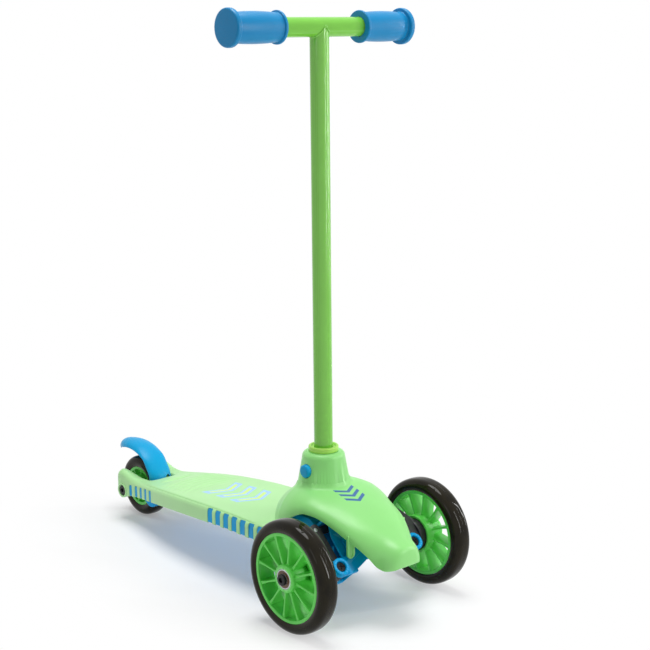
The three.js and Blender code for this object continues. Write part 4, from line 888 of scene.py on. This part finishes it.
def collar_piece():
    bore, out = TUBE_RADIUS + SEAT_GAP, TOWER_BORE - SEAT_GAP
    profile = [(bore, SEAT - 27), (out, SEAT - 27), (out, SEAT), (17, SEAT), (17, COLLAR_TOP),
               (14, COLLAR_TOP), (13, COLLAR_TOP - 2), (bore, COLLAR_TOP - 2)]
    return cut(turned(profile, TOWER, 72, True, [0.3, 0.3, 0, 0.8, 1.8, 0.8, 0.6, 0.4]),
               rod(LATCH_BORE, -17, -5, BUTTON_AXIS, 0, 24))


piece(collar_piece(), "collar", "frame", LIME, "stem_collar")


def weld_bead(radius):
    """A bead along the line where the stem meets the underside of the crossbar."""
    rings = []
    for k in range(96):
        angle = tau * k / 96
        x, y = TUBE_RADIUS * cos(angle), TUBE_RADIUS * sin(angle)
        middle = Vector((x, STEM_BACK + y, BAR_HEIGHT - sqrt(max(TUBE_RADIUS**2 - y * y, 0))))
        out = Vector((cos(angle), sin(angle), -0.4)).normalized()
        side = Vector((-sin(angle), cos(angle), 0)).cross(out).normalized()
        size = radius * (1 + 0.08 * sin(angle * 26))
        rings.append([middle - out * 0.4 + (out * cos(a) + side * sin(a)) * size
                      for a in np.linspace(0, tau, 10, endpoint=False)])
    return loft(rings, ring=True)


def handlebar_piece():
    end, bore = BAR_REACH - 3 - SEAT_GAP, TUBE_RADIUS - TUBE_WALL
    return cut(
        join(rod(TUBE_RADIUS, STEM_FOOT, BAR_HEIGHT, TOWER, 0, 96),
             rod(TUBE_RADIUS, -end, end, BAR_AXIS, 0.4, 96), weld_bead(1.7)),
        rod(bore, STEM_FOOT - 2, BAR_HEIGHT, TOWER, 0, 48),
        rod(bore, -end - 2, end + 2, BAR_AXIS, 0, 48),
        rod(LATCH_BORE, -TUBE_RADIUS - 2, -5, BUTTON_AXIS, 0, 24),
    )


piece(handlebar_piece(), "handlebar", "frame", TUBE_PAINT, "handlebar_tube")


def grip_piece(sign):
    """A closed grip: end flange, waist, fuller middle and inner flange."""
    inner, flange = BAR_REACH - GRIP_LENGTH, BAR_REACH - 6.4
    bore = TUBE_RADIUS + SEAT_GAP
    barrel = smooth_curve([inner + h for h in (3.4, 8, 20, 34, 48, 58)] + [flange],
                          [15.4, 15.6, 16.3, 16.6, 16.3, 15.6, 15.4])
    profile = [(0, BAR_REACH - 3), (bore, BAR_REACH - 3), (bore, inner)]
    profile += rounded([(bore, inner), (17.6, inner), (17.6, inner + 3.4), (15.5, inner + 3.4),
                        (barrel(inner + 7), inner + 7)], [0, 1.3, 1.3, 1.4, 0], steps=5)[1:]
    profile += [(barrel(h), h) for h in np.linspace(inner + 9, BAR_REACH - 12, 22)]
    profile += rounded([(barrel(flange - 4), flange - 4), (15.5, flange), (20, flange),
                        (20, BAR_REACH), (0, BAR_REACH)], [0, 1.6, 1.6, 2.4, 0], steps=6)
    return turned(profile, BAR_AXIS, 80, sign=sign)


for side, sign in SIDES:
    piece(grip_piece(sign), f"grip_{side}_rubber", "frame", GRIP_BLUE, f"grip_{side}")


def button_piece():
    out = tower_radius(BUTTON_HEIGHT) + 4.2
    profile = [(0, 9.2 - out), (BUTTON_RADIUS, 9.2 - out), (BUTTON_RADIUS, 1.6 - out),
               (5.6, 0.25 - out), (0, -out)]
    return cut(turned(profile, BUTTON_AXIS, 56, radii=[0, 0.3, 1.2, 1.2, 0]),
               rod(LATCH_BORE, 5.9 - out, 11.5 - out, BUTTON_AXIS, 0, 24))


piece(button_piece(), "button", "button", SKY_BLUE, "push_button")


# Lower chassis: tray, spine with the stem's socket, and the steering head

SLOPE_UP = Vector((0, cos(KINGPIN_TILT), sin(KINGPIN_TILT)))
PIN_DOWN = Vector((0, sin(KINGPIN_TILT), -cos(KINGPIN_TILT)))
HEAD_FLAT = axes((0, -KINGPIN_FRONT, KINGPIN_TOP), X, SLOPE_UP, PIN_DOWN)


def kingpin(sign, out=KINGPIN_OUT, up=0.0):
    """A frame down a kingpin's axis, with its y axis up the head's slope."""
    origin = Vector((sign * out, -KINGPIN_FRONT, KINGPIN_TOP)) + SLOPE_UP * up
    return axes(origin, X * sign, SLOPE_UP, PIN_DOWN)


def tray_ring(back, inset, floor, lift):
    out = deck_side(back) - DECK_WALL - SEAT_GAP - inset
    foot, top = deck_skirt(back) - 0.4 + floor, deck_top(back) - TRAY_DROP + lift
    inner = min(FORK_HALF_GAP, (deck_side(back) - DECK_WALL) / 2)
    half = [(out - 0.8, foot), (out, foot + 0.8), (out, top - 3.8), (out - 2.6, top),
            (inner, deck_dish(back) - TRAY_DROP + lift)]
    return [(x, back, z) for x, z in mirrored(half)]


def tray_part():
    places = stations(TRAY_START, 428, 9.0, (418, 428, 3.0))
    outer = loft([tray_ring(back, 0, 0, 0) for back in places])
    room = loft([tray_ring(back, 2.6, 4, 2) for back in places])
    pitch = (CELLS_END - TRAY_START) / 3
    cells = [box((-DECK_HALF_WIDTH, TRAY_START + row * pitch + 2.6, 0),
                 (DECK_HALF_WIDTH, TRAY_START + (row + 1) * pitch - 1.3, DECK_HEIGHT))
             for row in range(3)]
    hollow = overlap(room, join(cells[0], *cells[1:]))
    added, cuts = [], []
    clear = FORK_HALF_GAP + FORK_WALL + SEAT_GAP
    ear = sideways(0, 362.3, deck_skirt(CELLS_END) + 2)
    for _, sign in SIDES:
        added.append(rod(13.5, sign * clear, sign * 33, ear, 1.0, 48))
        cuts.append(rod(10.0, sign * (deck_side(WHEELBASE) - 7.3), sign * DECK_HALF_WIDTH,
                        REAR_AXLE, 0, 48))
        for back, out in SCREWS:
            foot, stand = deck_skirt(back), upright(sign * out, back)
            cuts += [rod(SCREW_BORE, 0, foot + 4.5, stand, 0, 16),
                     rod(4.0, 0, foot + 2.1, stand, 0, 28)]
        added += [slot_pad(*slot, sign) for slot in SLOTS]
    base = deck_skirt(165) - 0.4
    added.append(box((-26, 140, base - 1), (26, 190, base + 2)))
    cuts += [box((-clear, CELLS_END, 0), (clear, 434, DECK_HEIGHT)),
             rod(PIVOT_BORE, -PIVOT_END, PIVOT_END, BRAKE_PIVOT, 0, 24),
             rod(AXLE_RADIUS + SEAT_GAP, -DECK_HALF_WIDTH, DECK_HALF_WIDTH, REAR_AXLE, 0, 32)]
    return cut(join(cut(outer, hollow), *added), *cuts)


def spine_part():
    outline = [(1, 61), (12, 73.7), (45, 99), (80, 99), (80, 60), (40, 52), (30, 51), (30, 61)]
    block = plate(outline, -37, 37, CROSSWISE, 0.5, [4, *[1.8] * 7])
    pockets = [box((sign * 15.3, 30, 0), (sign * 32.5, 75.5, 94.5)) for _, sign in SIDES]
    socket = rod(TOWER_BORE - SEAT_GAP, STEM_FOOT, 139.4, TOWER, 0.6, 64)
    stem = rod(TUBE_RADIUS + SEAT_GAP, STEM_FOOT - 0.3, 142, TOWER, 0, 64)
    return cut(join(cut(block, *pockets), socket), stem)


def head_plate(half, radius, low, high, soft):
    """A plate that lies in the head's slope, the same on both sides."""
    return plate(mirrored(half), low, high, HEAD_FLAT, soft, radius)


def head_part():
    """Web, lip, skin and roof with the kingpins' bosses, and what is cut out of them."""
    lower = [(43.7, -11.0), (16.8, -1.1), (3.4, 11.2)]
    web = head_plate([(WEB_HALF, 31), (WEB_HALF, 4.7), (45.5, 0), *lower], 2.6, WEB_TOP, 29, 0.6)
    lip = head_plate([(WEB_HALF, 31), (44, 15.5), (KINGPIN_OUT, 11), (KINGPIN_OUT, -11), *lower],
                     2.6, LIP_TOP, HEAD_BOTTOM, 0.6)
    skin = head_plate([(WEB_HALF, 62), (39.6, 49.6), (44, 37.2), (44, 0)], 2.5, 7.2, 9.8, 0.9)
    roof = box((-WEB_HALF, 58.5, 7.2), (WEB_HALF, 62, 36.2), HEAD_FLAT, 0.8)
    added, cuts = [lip, skin, roof], []
    for _, sign in SIDES:
        place = kingpin(sign)
        seat = [(0, -2), (7.4, -2), (6.9, 0.1), (6.1, 0.8), (6.1, 5.4), (0, 5.4)]
        added += [rod(10, 0, PAD_END, place, 1.2, 64),
                  rod(11, LIP_TOP, HEAD_BOTTOM, place, 1.2, 64),
                  box((sign * WEB_HALF, -10, WEB_TOP), (sign * KINGPIN_OUT, 10, PAD_END),
                      HEAD_FLAT, 0.6)]
        cuts += [rod(KINGPIN_BORE, -2, 31, place, 0, 32), turned(seat, place, 48)]
    return join(web, *added), cuts


head, head_cuts = head_part()
chassis = cut(join(tray_part(), spine_part(), head), *head_cuts)
piece(chassis, "chassis", "frame", CHASSIS_BLUE, "lower_chassis", 24)


# Steering knuckles, kingpins and tie rod

BOSS_LENGTH = 11
BOSS_RADIUS = 18
BOSS_IN = WHEEL_OUT - HUB_LENGTH / 2 - SEAT_GAP - 1 - BOSS_LENGTH
BOSS_OUT = BOSS_IN + BOSS_LENGTH
EYE_RADIUS = 6.6
NECK = [(2, -7, 9, 9.5, 20.5), (12.5, -5.5, 11, 10.5, 20.8), (20.5, 2, 18, 14, 29)]


def knuckle_piece(sign):
    """Barrel, neck, wheel boss and steering arm, with their bores."""
    place = kingpin(sign)
    barrel = rod(9.5, BARREL_TOP, BARREL_BOTTOM, place, 0.8, 56)
    outs, *sides = zip(*NECK)
    tables = [smooth_curve(outs, values) for values in sides]
    rings = []
    for at in np.linspace(outs[0], outs[-1], 12):
        up_low, up_high, down_low, down_high = (table(at) for table in tables)
        section = rounded(rectangle(up_low, down_low, up_high, down_high), 2.0, closed=True)
        rings.append([place @ Vector((at, *spot)) for spot in section])
    profile = [(0, BOSS_IN), (BOSS_RADIUS, BOSS_IN), (BOSS_RADIUS, BOSS_OUT), (6, BOSS_OUT),
               (6, BOSS_OUT + 1), (0, BOSS_OUT + 1)]
    boss = turned(profile, FRONT_AXLE, 80, radii=[0, 2.0, 0.6, 0, 0.2, 0], sign=sign)
    bulge = BOSS_IN + 3.5 - KINGPIN_OUT
    end = [(EYE_RADIUS * cos(a), TIE_UP + EYE_RADIUS * sin(a)) for a in np.linspace(pi, 0, 13)]
    outline = [(-9.5, 0), *end, (bulge, 27), (bulge, 7.2), (9.5, 0)]
    arm = plate(outline, 10.5, 17.5, place, 0.8, [0] * 14 + [2, 2, 0])
    return cut(
        join(barrel, loft(rings), boss, arm),
        rod(7.5, 7, 23, place, 0, 40),
        rod(SPACER_BORE, sign * (BOSS_IN - 2), sign * (BOSS_OUT + 2), FRONT_AXLE, 0, 32),
        rod(7.9, sign * 62, sign * BOSS_IN, FRONT_AXLE, 0, 40),
        rod(TIE_BORE, 8.5, 19.5, kingpin(sign, up=TIE_UP), 0, 24),
    )


def screw_head(radius, low, high, place, socket):
    """A round head with a cross cut into its upper face, at its low end."""
    bars = [box((-socket, -0.55, low - 1), (socket, 0.55, low + 1.6),
                place @ Matrix.Rotation(angle, 4, "Z")) for angle in (0.3, 0.3 + pi / 2)]
    return cut(rod(radius, low, high, place, 0.7, 48), *bars)


for side, sign in SIDES:
    body, place, pin_place = f"{side}_knuckle", kingpin(sign), kingpin(sign, up=TIE_UP)
    piece(knuckle_piece(sign), f"knuckle_{side}_moulding", body, BLACK_PLASTIC, f"knuckle_{side}")
    piece(tube(KINGPIN_BORE, 7.2, BARREL_TOP, BARREL_BOTTOM, place, 0.3, 40), f"bush_{side}", body,
          BUSH_RUBBER, f"kingpin_bush_{side}")
    bolt = join(screw_head(5.2, 1.4, 5.1, place, 3.2), rod(3.9, 2.6, 27, place, 0.4, 32))
    piece(bolt, f"kingpin_{side}", "frame", BLACK_STEEL, f"kingpin_bolt_{side}")
    pin = join(rod(2.4, 10.8, 23.4, pin_place, 0.2, 24), rod(4.4, 23.1, 25.3, pin_place, 0.6, 32))
    piece(pin, f"tie_pin_{side}", body, STEEL, f"tie_rod_pin_{side}")

ends = [kingpin(sign, up=TIE_UP) for _, sign in SIDES]
bar = rectangle(-KINGPIN_OUT, TIE_UP - 4.5, KINGPIN_OUT, TIE_UP + 4.5)
tie = plate(bar, TIE_TOP, TIE_BOTTOM, HEAD_FLAT, 0.8, 1.4)
tie = join(tie, *[rod(EYE_RADIUS, TIE_TOP, TIE_BOTTOM, end, 0.8, 40) for end in ends])
piece(cut(tie, *[rod(TIE_BORE, 15, 25, end, 0, 24) for end in ends]), "tie_bar", "tie_rod",
      BLACK_PLASTIC, "tie_rod")


# Wheels


def blade(root, tip, reach, place):
    """One radial blade: thin in the middle, flared at barrel and rim, with round edges."""
    run = np.linspace(0, 1, 9)
    halves = 1.0 + 0.9 * (1 - run) ** 5 + 1.7 * run**6
    side = list(zip(root + (tip - root) * run, halves))
    return plate(side + [(x, -y) for x, y in reversed(side)], -reach, reach, place, 0.7)


def hub_piece(at, rim, blades, place, outward=0):
    """Rim with flat lips, barrel and thin radial blades with eased edges."""
    bore = BEARING_RADIUS + SEAT_GAP
    seat = HUB_LENGTH / 2 - BEARING_WIDTH - SEAT_GAP
    half, outer = RIM_WIDTH / 2, rim - SEAT_GAP
    inner = outer - RIM_THICKNESS
    lip = inner - 0.8
    line = [(lip, at - half), (outer, at - half), (outer, at + half), (lip, at + half),
            (lip, at + half - 1.6), (inner, at + half - 3.4), (inner, at - half + 3.4),
            (lip, at - half + 1.6)]
    ring = turned(line, place, 120, True, [0.5, 0.4, 0.4, 0.5, 0.6, 1.2, 1.2, 0.6])
    end = at + HUB_LENGTH / 2
    barrel = rectangle(0, 2 * at - end, 15.5, end)
    parts = [turned(barrel, place, 96, radii=[0, 2.5, 2.5, 0], corner=6)]
    for i in range(blades):
        turn = Matrix.Rotation(tau * (i + 0.25) / blades, 4, "Z") @ Matrix.Translation((0, 0, at))
        parts.append(blade(14, inner + 1.4, half - 1.0, place @ turn))
    if outward:
        far = WHEEL_OUT - half + RIM_THICKNESS
        parts.append(tube(19, 21.8, outward * (BOSS_OUT - 3), outward * far, place, 0.6, 96))
    return cut(
        join(ring, *parts),
        rod(9.2, at - seat - 2, at + seat + 2, place, 0, 48),
        rod(bore, at + seat, at + HUB_LENGTH, place, 0, 64),
        rod(bore, at - HUB_LENGTH, at - seat, place, 0, 64),
    )


def tyre_piece(at, rim, crown, place):
    """A cast tread with a round crown, full shoulders and a fine parting line in the middle."""
    half, wall = TYRE_WIDTH / 2, RIM_WIDTH / 2
    section = [(rim, wall), (rim + 1.2, wall + 0.9)]
    low = crown - 2 * TYRE_SHOULDER * 0.95
    section += [(low + (crown - low) * s**0.9, half * c**0.62) for c, s in arc(14)[1:-1]]
    section += [(crown, 0.45), (crown, 0.25), (crown - 0.12, 0.0)]
    profile = [(r, at - a) for r, a in section] + [(r, at + a) for r, a in reversed(section[:-1])]
    return turned(profile, place, 128, ring=True)


def bearing_piece(inner, outer, way, place):
    """Both races of a bearing and what lies between them, from its inner to its outer face."""
    bore, sunk = AXLE_RADIUS + SEAT_GAP, outer - way * 0.6
    profile = [(bore, inner), (BEARING_RADIUS, inner), (BEARING_RADIUS, outer), (9.8, outer),
               (9.8, sunk), (6, sunk), (6, outer), (bore, outer)]
    return turned(profile, place, 64, True, [0, 0.3, 0.5, 0.15, 0, 0, 0.15, 0.3], 3)


def axle_bolt(start, way, far, place):
    """A round head with a hexagon socket in its outer face, and the shank."""
    end = start + way * 3.6
    head = turned(rectangle(0, start, 6.2, end), place, 56, radii=[0, 0.2, 0.9, 0])
    socket = turned(rectangle(0, end - way * 2.0, 3.2, end + way * 2), place, 6)
    return join(cut(head, socket),
                rod(AXLE_RADIUS, start + way * 1.8, far, place, 0.4, 40))


def hex_nut(radius, start, end, place):
    low, high = sorted((start, end))
    dome = [(0, low), (radius * 0.9, low), (radius * 1.03, low + 1.0), (radius * 1.03, high - 1.0),
            (radius * 0.9, high), (0, high)]
    nut = overlap(rod(radius, low, high, place, 0.0, 6), turned(dome, place, 48))
    return cut(nut, rod(SPACER_BORE, low - 2, high + 2, place, 0, 32))


def spacer(low, high, place, soft=0.2):
    return tube(SPACER_BORE, SPACER_RADIUS, low, high, place, soft, 40)


def wheel(kind, mark, at, rim, crown, blades, place, body, outward=0):
    """Hub and tread of one wheel."""
    piece(hub_piece(at, rim, blades, place, outward), f"{kind}_hub{mark}_moulding", body,
          GREEN_HUB, f"{kind}_hub{mark}", 30)
    piece(tyre_piece(at, rim, crown, place), f"{kind}_tread{mark}", body, TYRE,
          f"{kind}_tyre{mark}")


def bearing(kind, mark, at, way, place, body):
    """Races and seal of one bearing at an end of its hub."""
    inner, outer = at + way * (HUB_LENGTH / 2 - BEARING_WIDTH), at + way * HUB_LENGTH / 2
    piece(bearing_piece(inner, outer, way, place), f"{kind}_race_{mark}", body, RACE_STEEL,
          f"{kind}_bearing_{mark}")
    piece(tube(6.15, 9.65, outer - way * 0.55, outer - way * 0.2, place, 0.1, 56),
          f"{kind}_shield_{mark}", body, SHIELD)


for side, sign in SIDES:
    at, knuckle, body = sign * WHEEL_OUT, f"{side}_knuckle", f"{side}_front_wheel"
    wheel("front", f"_{side}", at, FRONT_RIM_RADIUS, FRONT_WHEEL_RADIUS, 12, FRONT_AXLE, body, sign)
    for where, way in (("outer", sign), ("inner", -sign)):
        bearing("front", f"{where}_{side}", at, way, FRONT_AXLE, body)
    head_in, nut_out = WHEEL_OUT + HUB_LENGTH / 2 + SEAT_GAP, BOSS_IN - SEAT_GAP
    piece(axle_bolt(sign * head_in, sign, sign * (nut_out - 6.5), FRONT_AXLE),
          f"front_axle_{side}", knuckle, BLACK_STEEL, f"front_axle_bolt_{side}")
    piece(hex_nut(7.4, sign * (nut_out - 5.5), sign * nut_out, FRONT_AXLE), f"front_nut_{side}",
          knuckle, STEEL, f"front_axle_nut_{side}")
    end = HUB_LENGTH / 2 - BEARING_WIDTH - SEAT_GAP
    piece(spacer(at - end, at + end, FRONT_AXLE), f"front_sleeve_{side}", knuckle, STEEL,
          f"front_spacer_{side}")

wheel("rear", "", 0, REAR_RIM_RADIUS, REAR_WHEEL_RADIUS, 8, REAR_AXLE, "rear_wheel")
for side, sign in SIDES:
    bearing("rear", side, 0, sign, REAR_AXLE, "rear_wheel")
    low, high = HUB_LENGTH / 2 + SEAT_GAP, FORK_HALF_GAP - SEAT_GAP
    piece(spacer(sign * low, sign * high, REAR_AXLE, 0.3), f"fork_sleeve_{side}", "frame", STEEL,
          f"rear_fork_spacer_{side}")
REAR_HEAD = deck_side(WHEELBASE) + 1 - 4.6 + SEAT_GAP
piece(spacer(-6.1, 6.1, REAR_AXLE), "rear_sleeve", "frame", STEEL, "rear_spacer")
piece(axle_bolt(-REAR_HEAD, -1, REAR_HEAD + 3.3, REAR_AXLE), "rear_axle", "frame", BLACK_STEEL,
      "rear_axle_bolt")
piece(hex_nut(6.7, REAR_HEAD, REAR_HEAD + 3.6, REAR_AXLE), "rear_nut", "frame", STEEL,
      "rear_axle_nut")


# Brake fender

FENDER_FOOT, FENDER_LOW, FENDER_LENGTH, FENDER_RISE = WHEELBASE - 43.7, 55, 97.7, 44
BRAKE_HALF_WIDTH, BRAKE_WALL = 16.5, 2.4
CROWN = [(0, 0), (0.027, 0.198), (0.105, 0.42), (0.211, 0.655), (0.3295, 0.827), (0.47, 0.948),
         (0.64, 1), (0.804, 0.968), (0.892, 0.885), (0.9655, 0.735), (1, 0.6)]
EDGE = [(0.0993, 0), (0.1198, 0.2045), (0.176, 0.386), (0.2425, 0.591), (0.3549, 0.72),
        (0.4839, 0.8), (0.6208, 0.81), (0.7508, 0.75), (0.8436, 0.72), (0.9267, 0.63),
        (0.9707, 0.56)]
WIDTHS = [1, 1, 1, 1, 1, 1, 1, 0.88, 0.64, 0.38, 0.16]
FOOT = [(-0.2, -0.7), (-0.2, 0.9), (0.85, 1), (1.3, 1.7), (2.05, 1.7), (1.8, 0.9), (1.42, -0.2),
        (0.9, -0.85)]


def through(points, count):
    """Many points along a smooth line through a few."""
    points = np.array(points, float)
    lengths = np.concatenate([[0], np.cumsum(np.linalg.norm(np.diff(points, axis=0), axis=1))])
    padded = np.vstack([2 * points[0] - points[1], points, 2 * points[-1] - points[-2]])
    line = []
    for place in np.linspace(0, lengths[-1], count):
        i = int(np.clip(np.searchsorted(lengths, place, side="right") - 1, 0, len(points) - 2))
        t = (place - lengths[i]) / (lengths[i + 1] - lengths[i])
        a, b, c, d = padded[i : i + 4]
        bend = (2 * a - 5 * b + 4 * c - d) * t**2 + (3 * b - a - 3 * c + d) * t**3
        line.append(0.5 * (2 * b + (c - a) * t + bend))
    return np.array(line)


def fender_piece():
    """A thin shell between its crown and edge lines, with the foot and the pivot's barrel."""
    rows, columns = 44, 16
    scale, start = np.array([FENDER_LENGTH, FENDER_RISE]), np.array([FENDER_FOOT, FENDER_LOW])
    table = np.hstack([np.array(CROWN) * scale + start, np.array(EDGE) * scale + start,
                       np.array(WIDTHS)[:, None]])
    table = through(table, rows)
    crown, edge, widths = table[:, :2], table[:, 2:4], table[:, 4]
    run = np.gradient(crown, axis=0)
    run /= norm(run, axis=1, keepdims=True)
    normal = np.stack([run[:, 1], -run[:, 0]], axis=1)
    rings = []
    for i in range(rows):
        ring = []
        lip = edge[i] - (crown[i] - edge[i]) * 0.01
        for sign, wall in ((1, 0.0), (-1, BRAKE_WALL)):
            top = crown[i] + normal[i] * wall
            width = BRAKE_HALF_WIDTH * widths[i] * (1 - wall / BRAKE_HALF_WIDTH)
            for j in range(columns + 1):
                angle = pi * (j / columns - 0.5)
                spot = top + (edge[i] - top) * (1 - cos(angle))
                ring.append((sign * width * sin(angle), *spot))
            ring.append((sign * (BRAKE_HALF_WIDTH * widths[i] - 1.0), *lip))
        rings.append(ring)
    foot = [(BRAKE_PIVOT_BACK + y * 5.6, BRAKE_PIVOT_HEIGHT + z * 5.6) for y, z in FOOT]
    foot = plate(foot, -13.5, 13.5, CROSSWISE, 0.6, 1.2)
    end = FORK_HALF_GAP - 0.8
    hole = axes((7.5, 0, deck_top(FENDER_FOOT) - 1.7), X, -Z, Y)
    return cut(
        join(loft(rings), foot, rod(5.6, -end, end - 6, BRAKE_PIVOT, 0.5, 48)),
        rod(PIVOT_BORE, -end - 2, end + 2, BRAKE_PIVOT, 0, 32),
        rod(6.1, end - 6, end + 2, BRAKE_PIVOT, 0, 40),
        rod(3.4, FENDER_FOOT - 4, FENDER_FOOT + 16.5, hole, 0, 40),
    )


piece(fender_piece(), "fender", "brake", SKY_BLUE, "brake_fender", 40)


# The CAD's own small pieces keep their shapes and get finishes

for name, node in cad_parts.items():
    if not node.hide_render:
        dress(node, (BLACK_PLASTIC if name == "stem_plug" else STEEL)[1], 40)


# Floor, light and camera


def seen_directly(tree):
    """One for rays from the camera, mirror rays and rays through clear things, else zero."""
    path = add(tree, "LightPath").outputs
    seen = calc(tree, "MAXIMUM", path["Is Camera Ray"], path["Is Glossy Ray"])
    return calc(tree, "MAXIMUM", seen, path["Is Transmission Ray"])


def floor_finish():
    """Near white, lit by the lamps close by so that it takes shadows, and plain white far off."""
    made, tree, principled = shader("studio_floor", Roughness=0.9, Specular_IOR_Level=0.1,
                                    Base_Color=linear(246, 246, 247))
    long = scaled(tree, over(tree), (1.7, 0.9, 1.0))
    far = add(tree, "VectorMath", {"operation": "LENGTH"}, _0=long).outputs["Value"]
    white = add(tree, "Emission", Color=(1, 1, 1, 1), Strength=1.0)
    share = calc(tree, "MULTIPLY", ramp(tree, far, 0.16, 0.40, 0.2, 1.0), seen_directly(tree))
    mixed = add(tree, "MixShader", _0=share, _1=principled.outputs[0], _2=white.outputs[0])
    put(tree, find(tree, "OUTPUT_MATERIAL").inputs, Surface=mixed.outputs[0])
    return made


def area_lamp(name, place, target, width, height, power):
    light = bpy.data.lights.new(name, "AREA")
    light.shape, light.size, light.size_y, light.energy = "ELLIPSE", width, height, power
    lamp = in_scene(name, light)
    lamp.location = place
    lamp.rotation_euler = (Vector(target) - Vector(place)).to_track_quat("-Z", "Y").to_euler()


AMBIENT = 0.32
FLOOR_REACH = 6.0


def stage():
    """Floor, world and lamps."""
    scene = bpy.context.scene
    scene.view_settings.view_transform = "Standard"
    floor = bpy.data.meshes.new("floor")
    corners = rectangle(-FLOOR_REACH, -FLOOR_REACH, FLOOR_REACH, FLOOR_REACH)
    floor.from_pydata([(x, y, 0) for x, y in corners], [], [(0, 1, 2, 3)])
    floor.materials.append(floor_finish())
    ground = in_scene("floor", floor)
    ground.location = (0, 0, -0.0004)
    world = bpy.data.worlds.new("studio")
    world.use_nodes = True
    scene.world = world
    tree = world.node_tree
    back = find(tree, "BACKGROUND").inputs
    back["Color"].default_value = (1, 1, 1, 1)
    level = calc(tree, "MULTIPLY_ADD", seen_directly(tree), 1 - AMBIENT, AMBIENT)
    put(tree, back, Strength=level)
    area_lamp("overhead", (0.1, 0.1, 2.2), (0, 0, 0.1), 1.25, 1.25, 35)
    for name, turn in (("strip_front", radians(24)), ("strip_right", radians(58))):
        area_lamp(name, (1.5 * sin(turn), -1.5 * cos(turn), 0.7), (0, 0, 0.7), 0.04, 1.2, 6)
    area_lamp("left_fill", (-2.0, -0.6, 0.9), (0, 0, 0.2), 0.8, 0.8, 2)


stage()

AZIMUTH, ELEVATION, ROLL = (radians(a) for a in (-41.81, 12.02, -0.56))
level = cos(ELEVATION)
back = Vector((sin(AZIMUTH) * level, -cos(AZIMUTH) * level, sin(ELEVATION)))
across = Vector((cos(AZIMUTH), sin(AZIMUTH), 0))
up = back.cross(across)
camera = in_scene("camera", bpy.data.cameras.new("camera"))
camera.data.sensor_width, camera.data.lens = 36, 77.28
camera.data.clip_start, camera.data.clip_end = 0.05, 30
camera.matrix_world = axes((-1.00508, -1.26626, 0.63297), across * cos(ROLL) + up * sin(ROLL),
                           up * cos(ROLL) - across * sin(ROLL), back)
bpy.context.scene.camera = camera
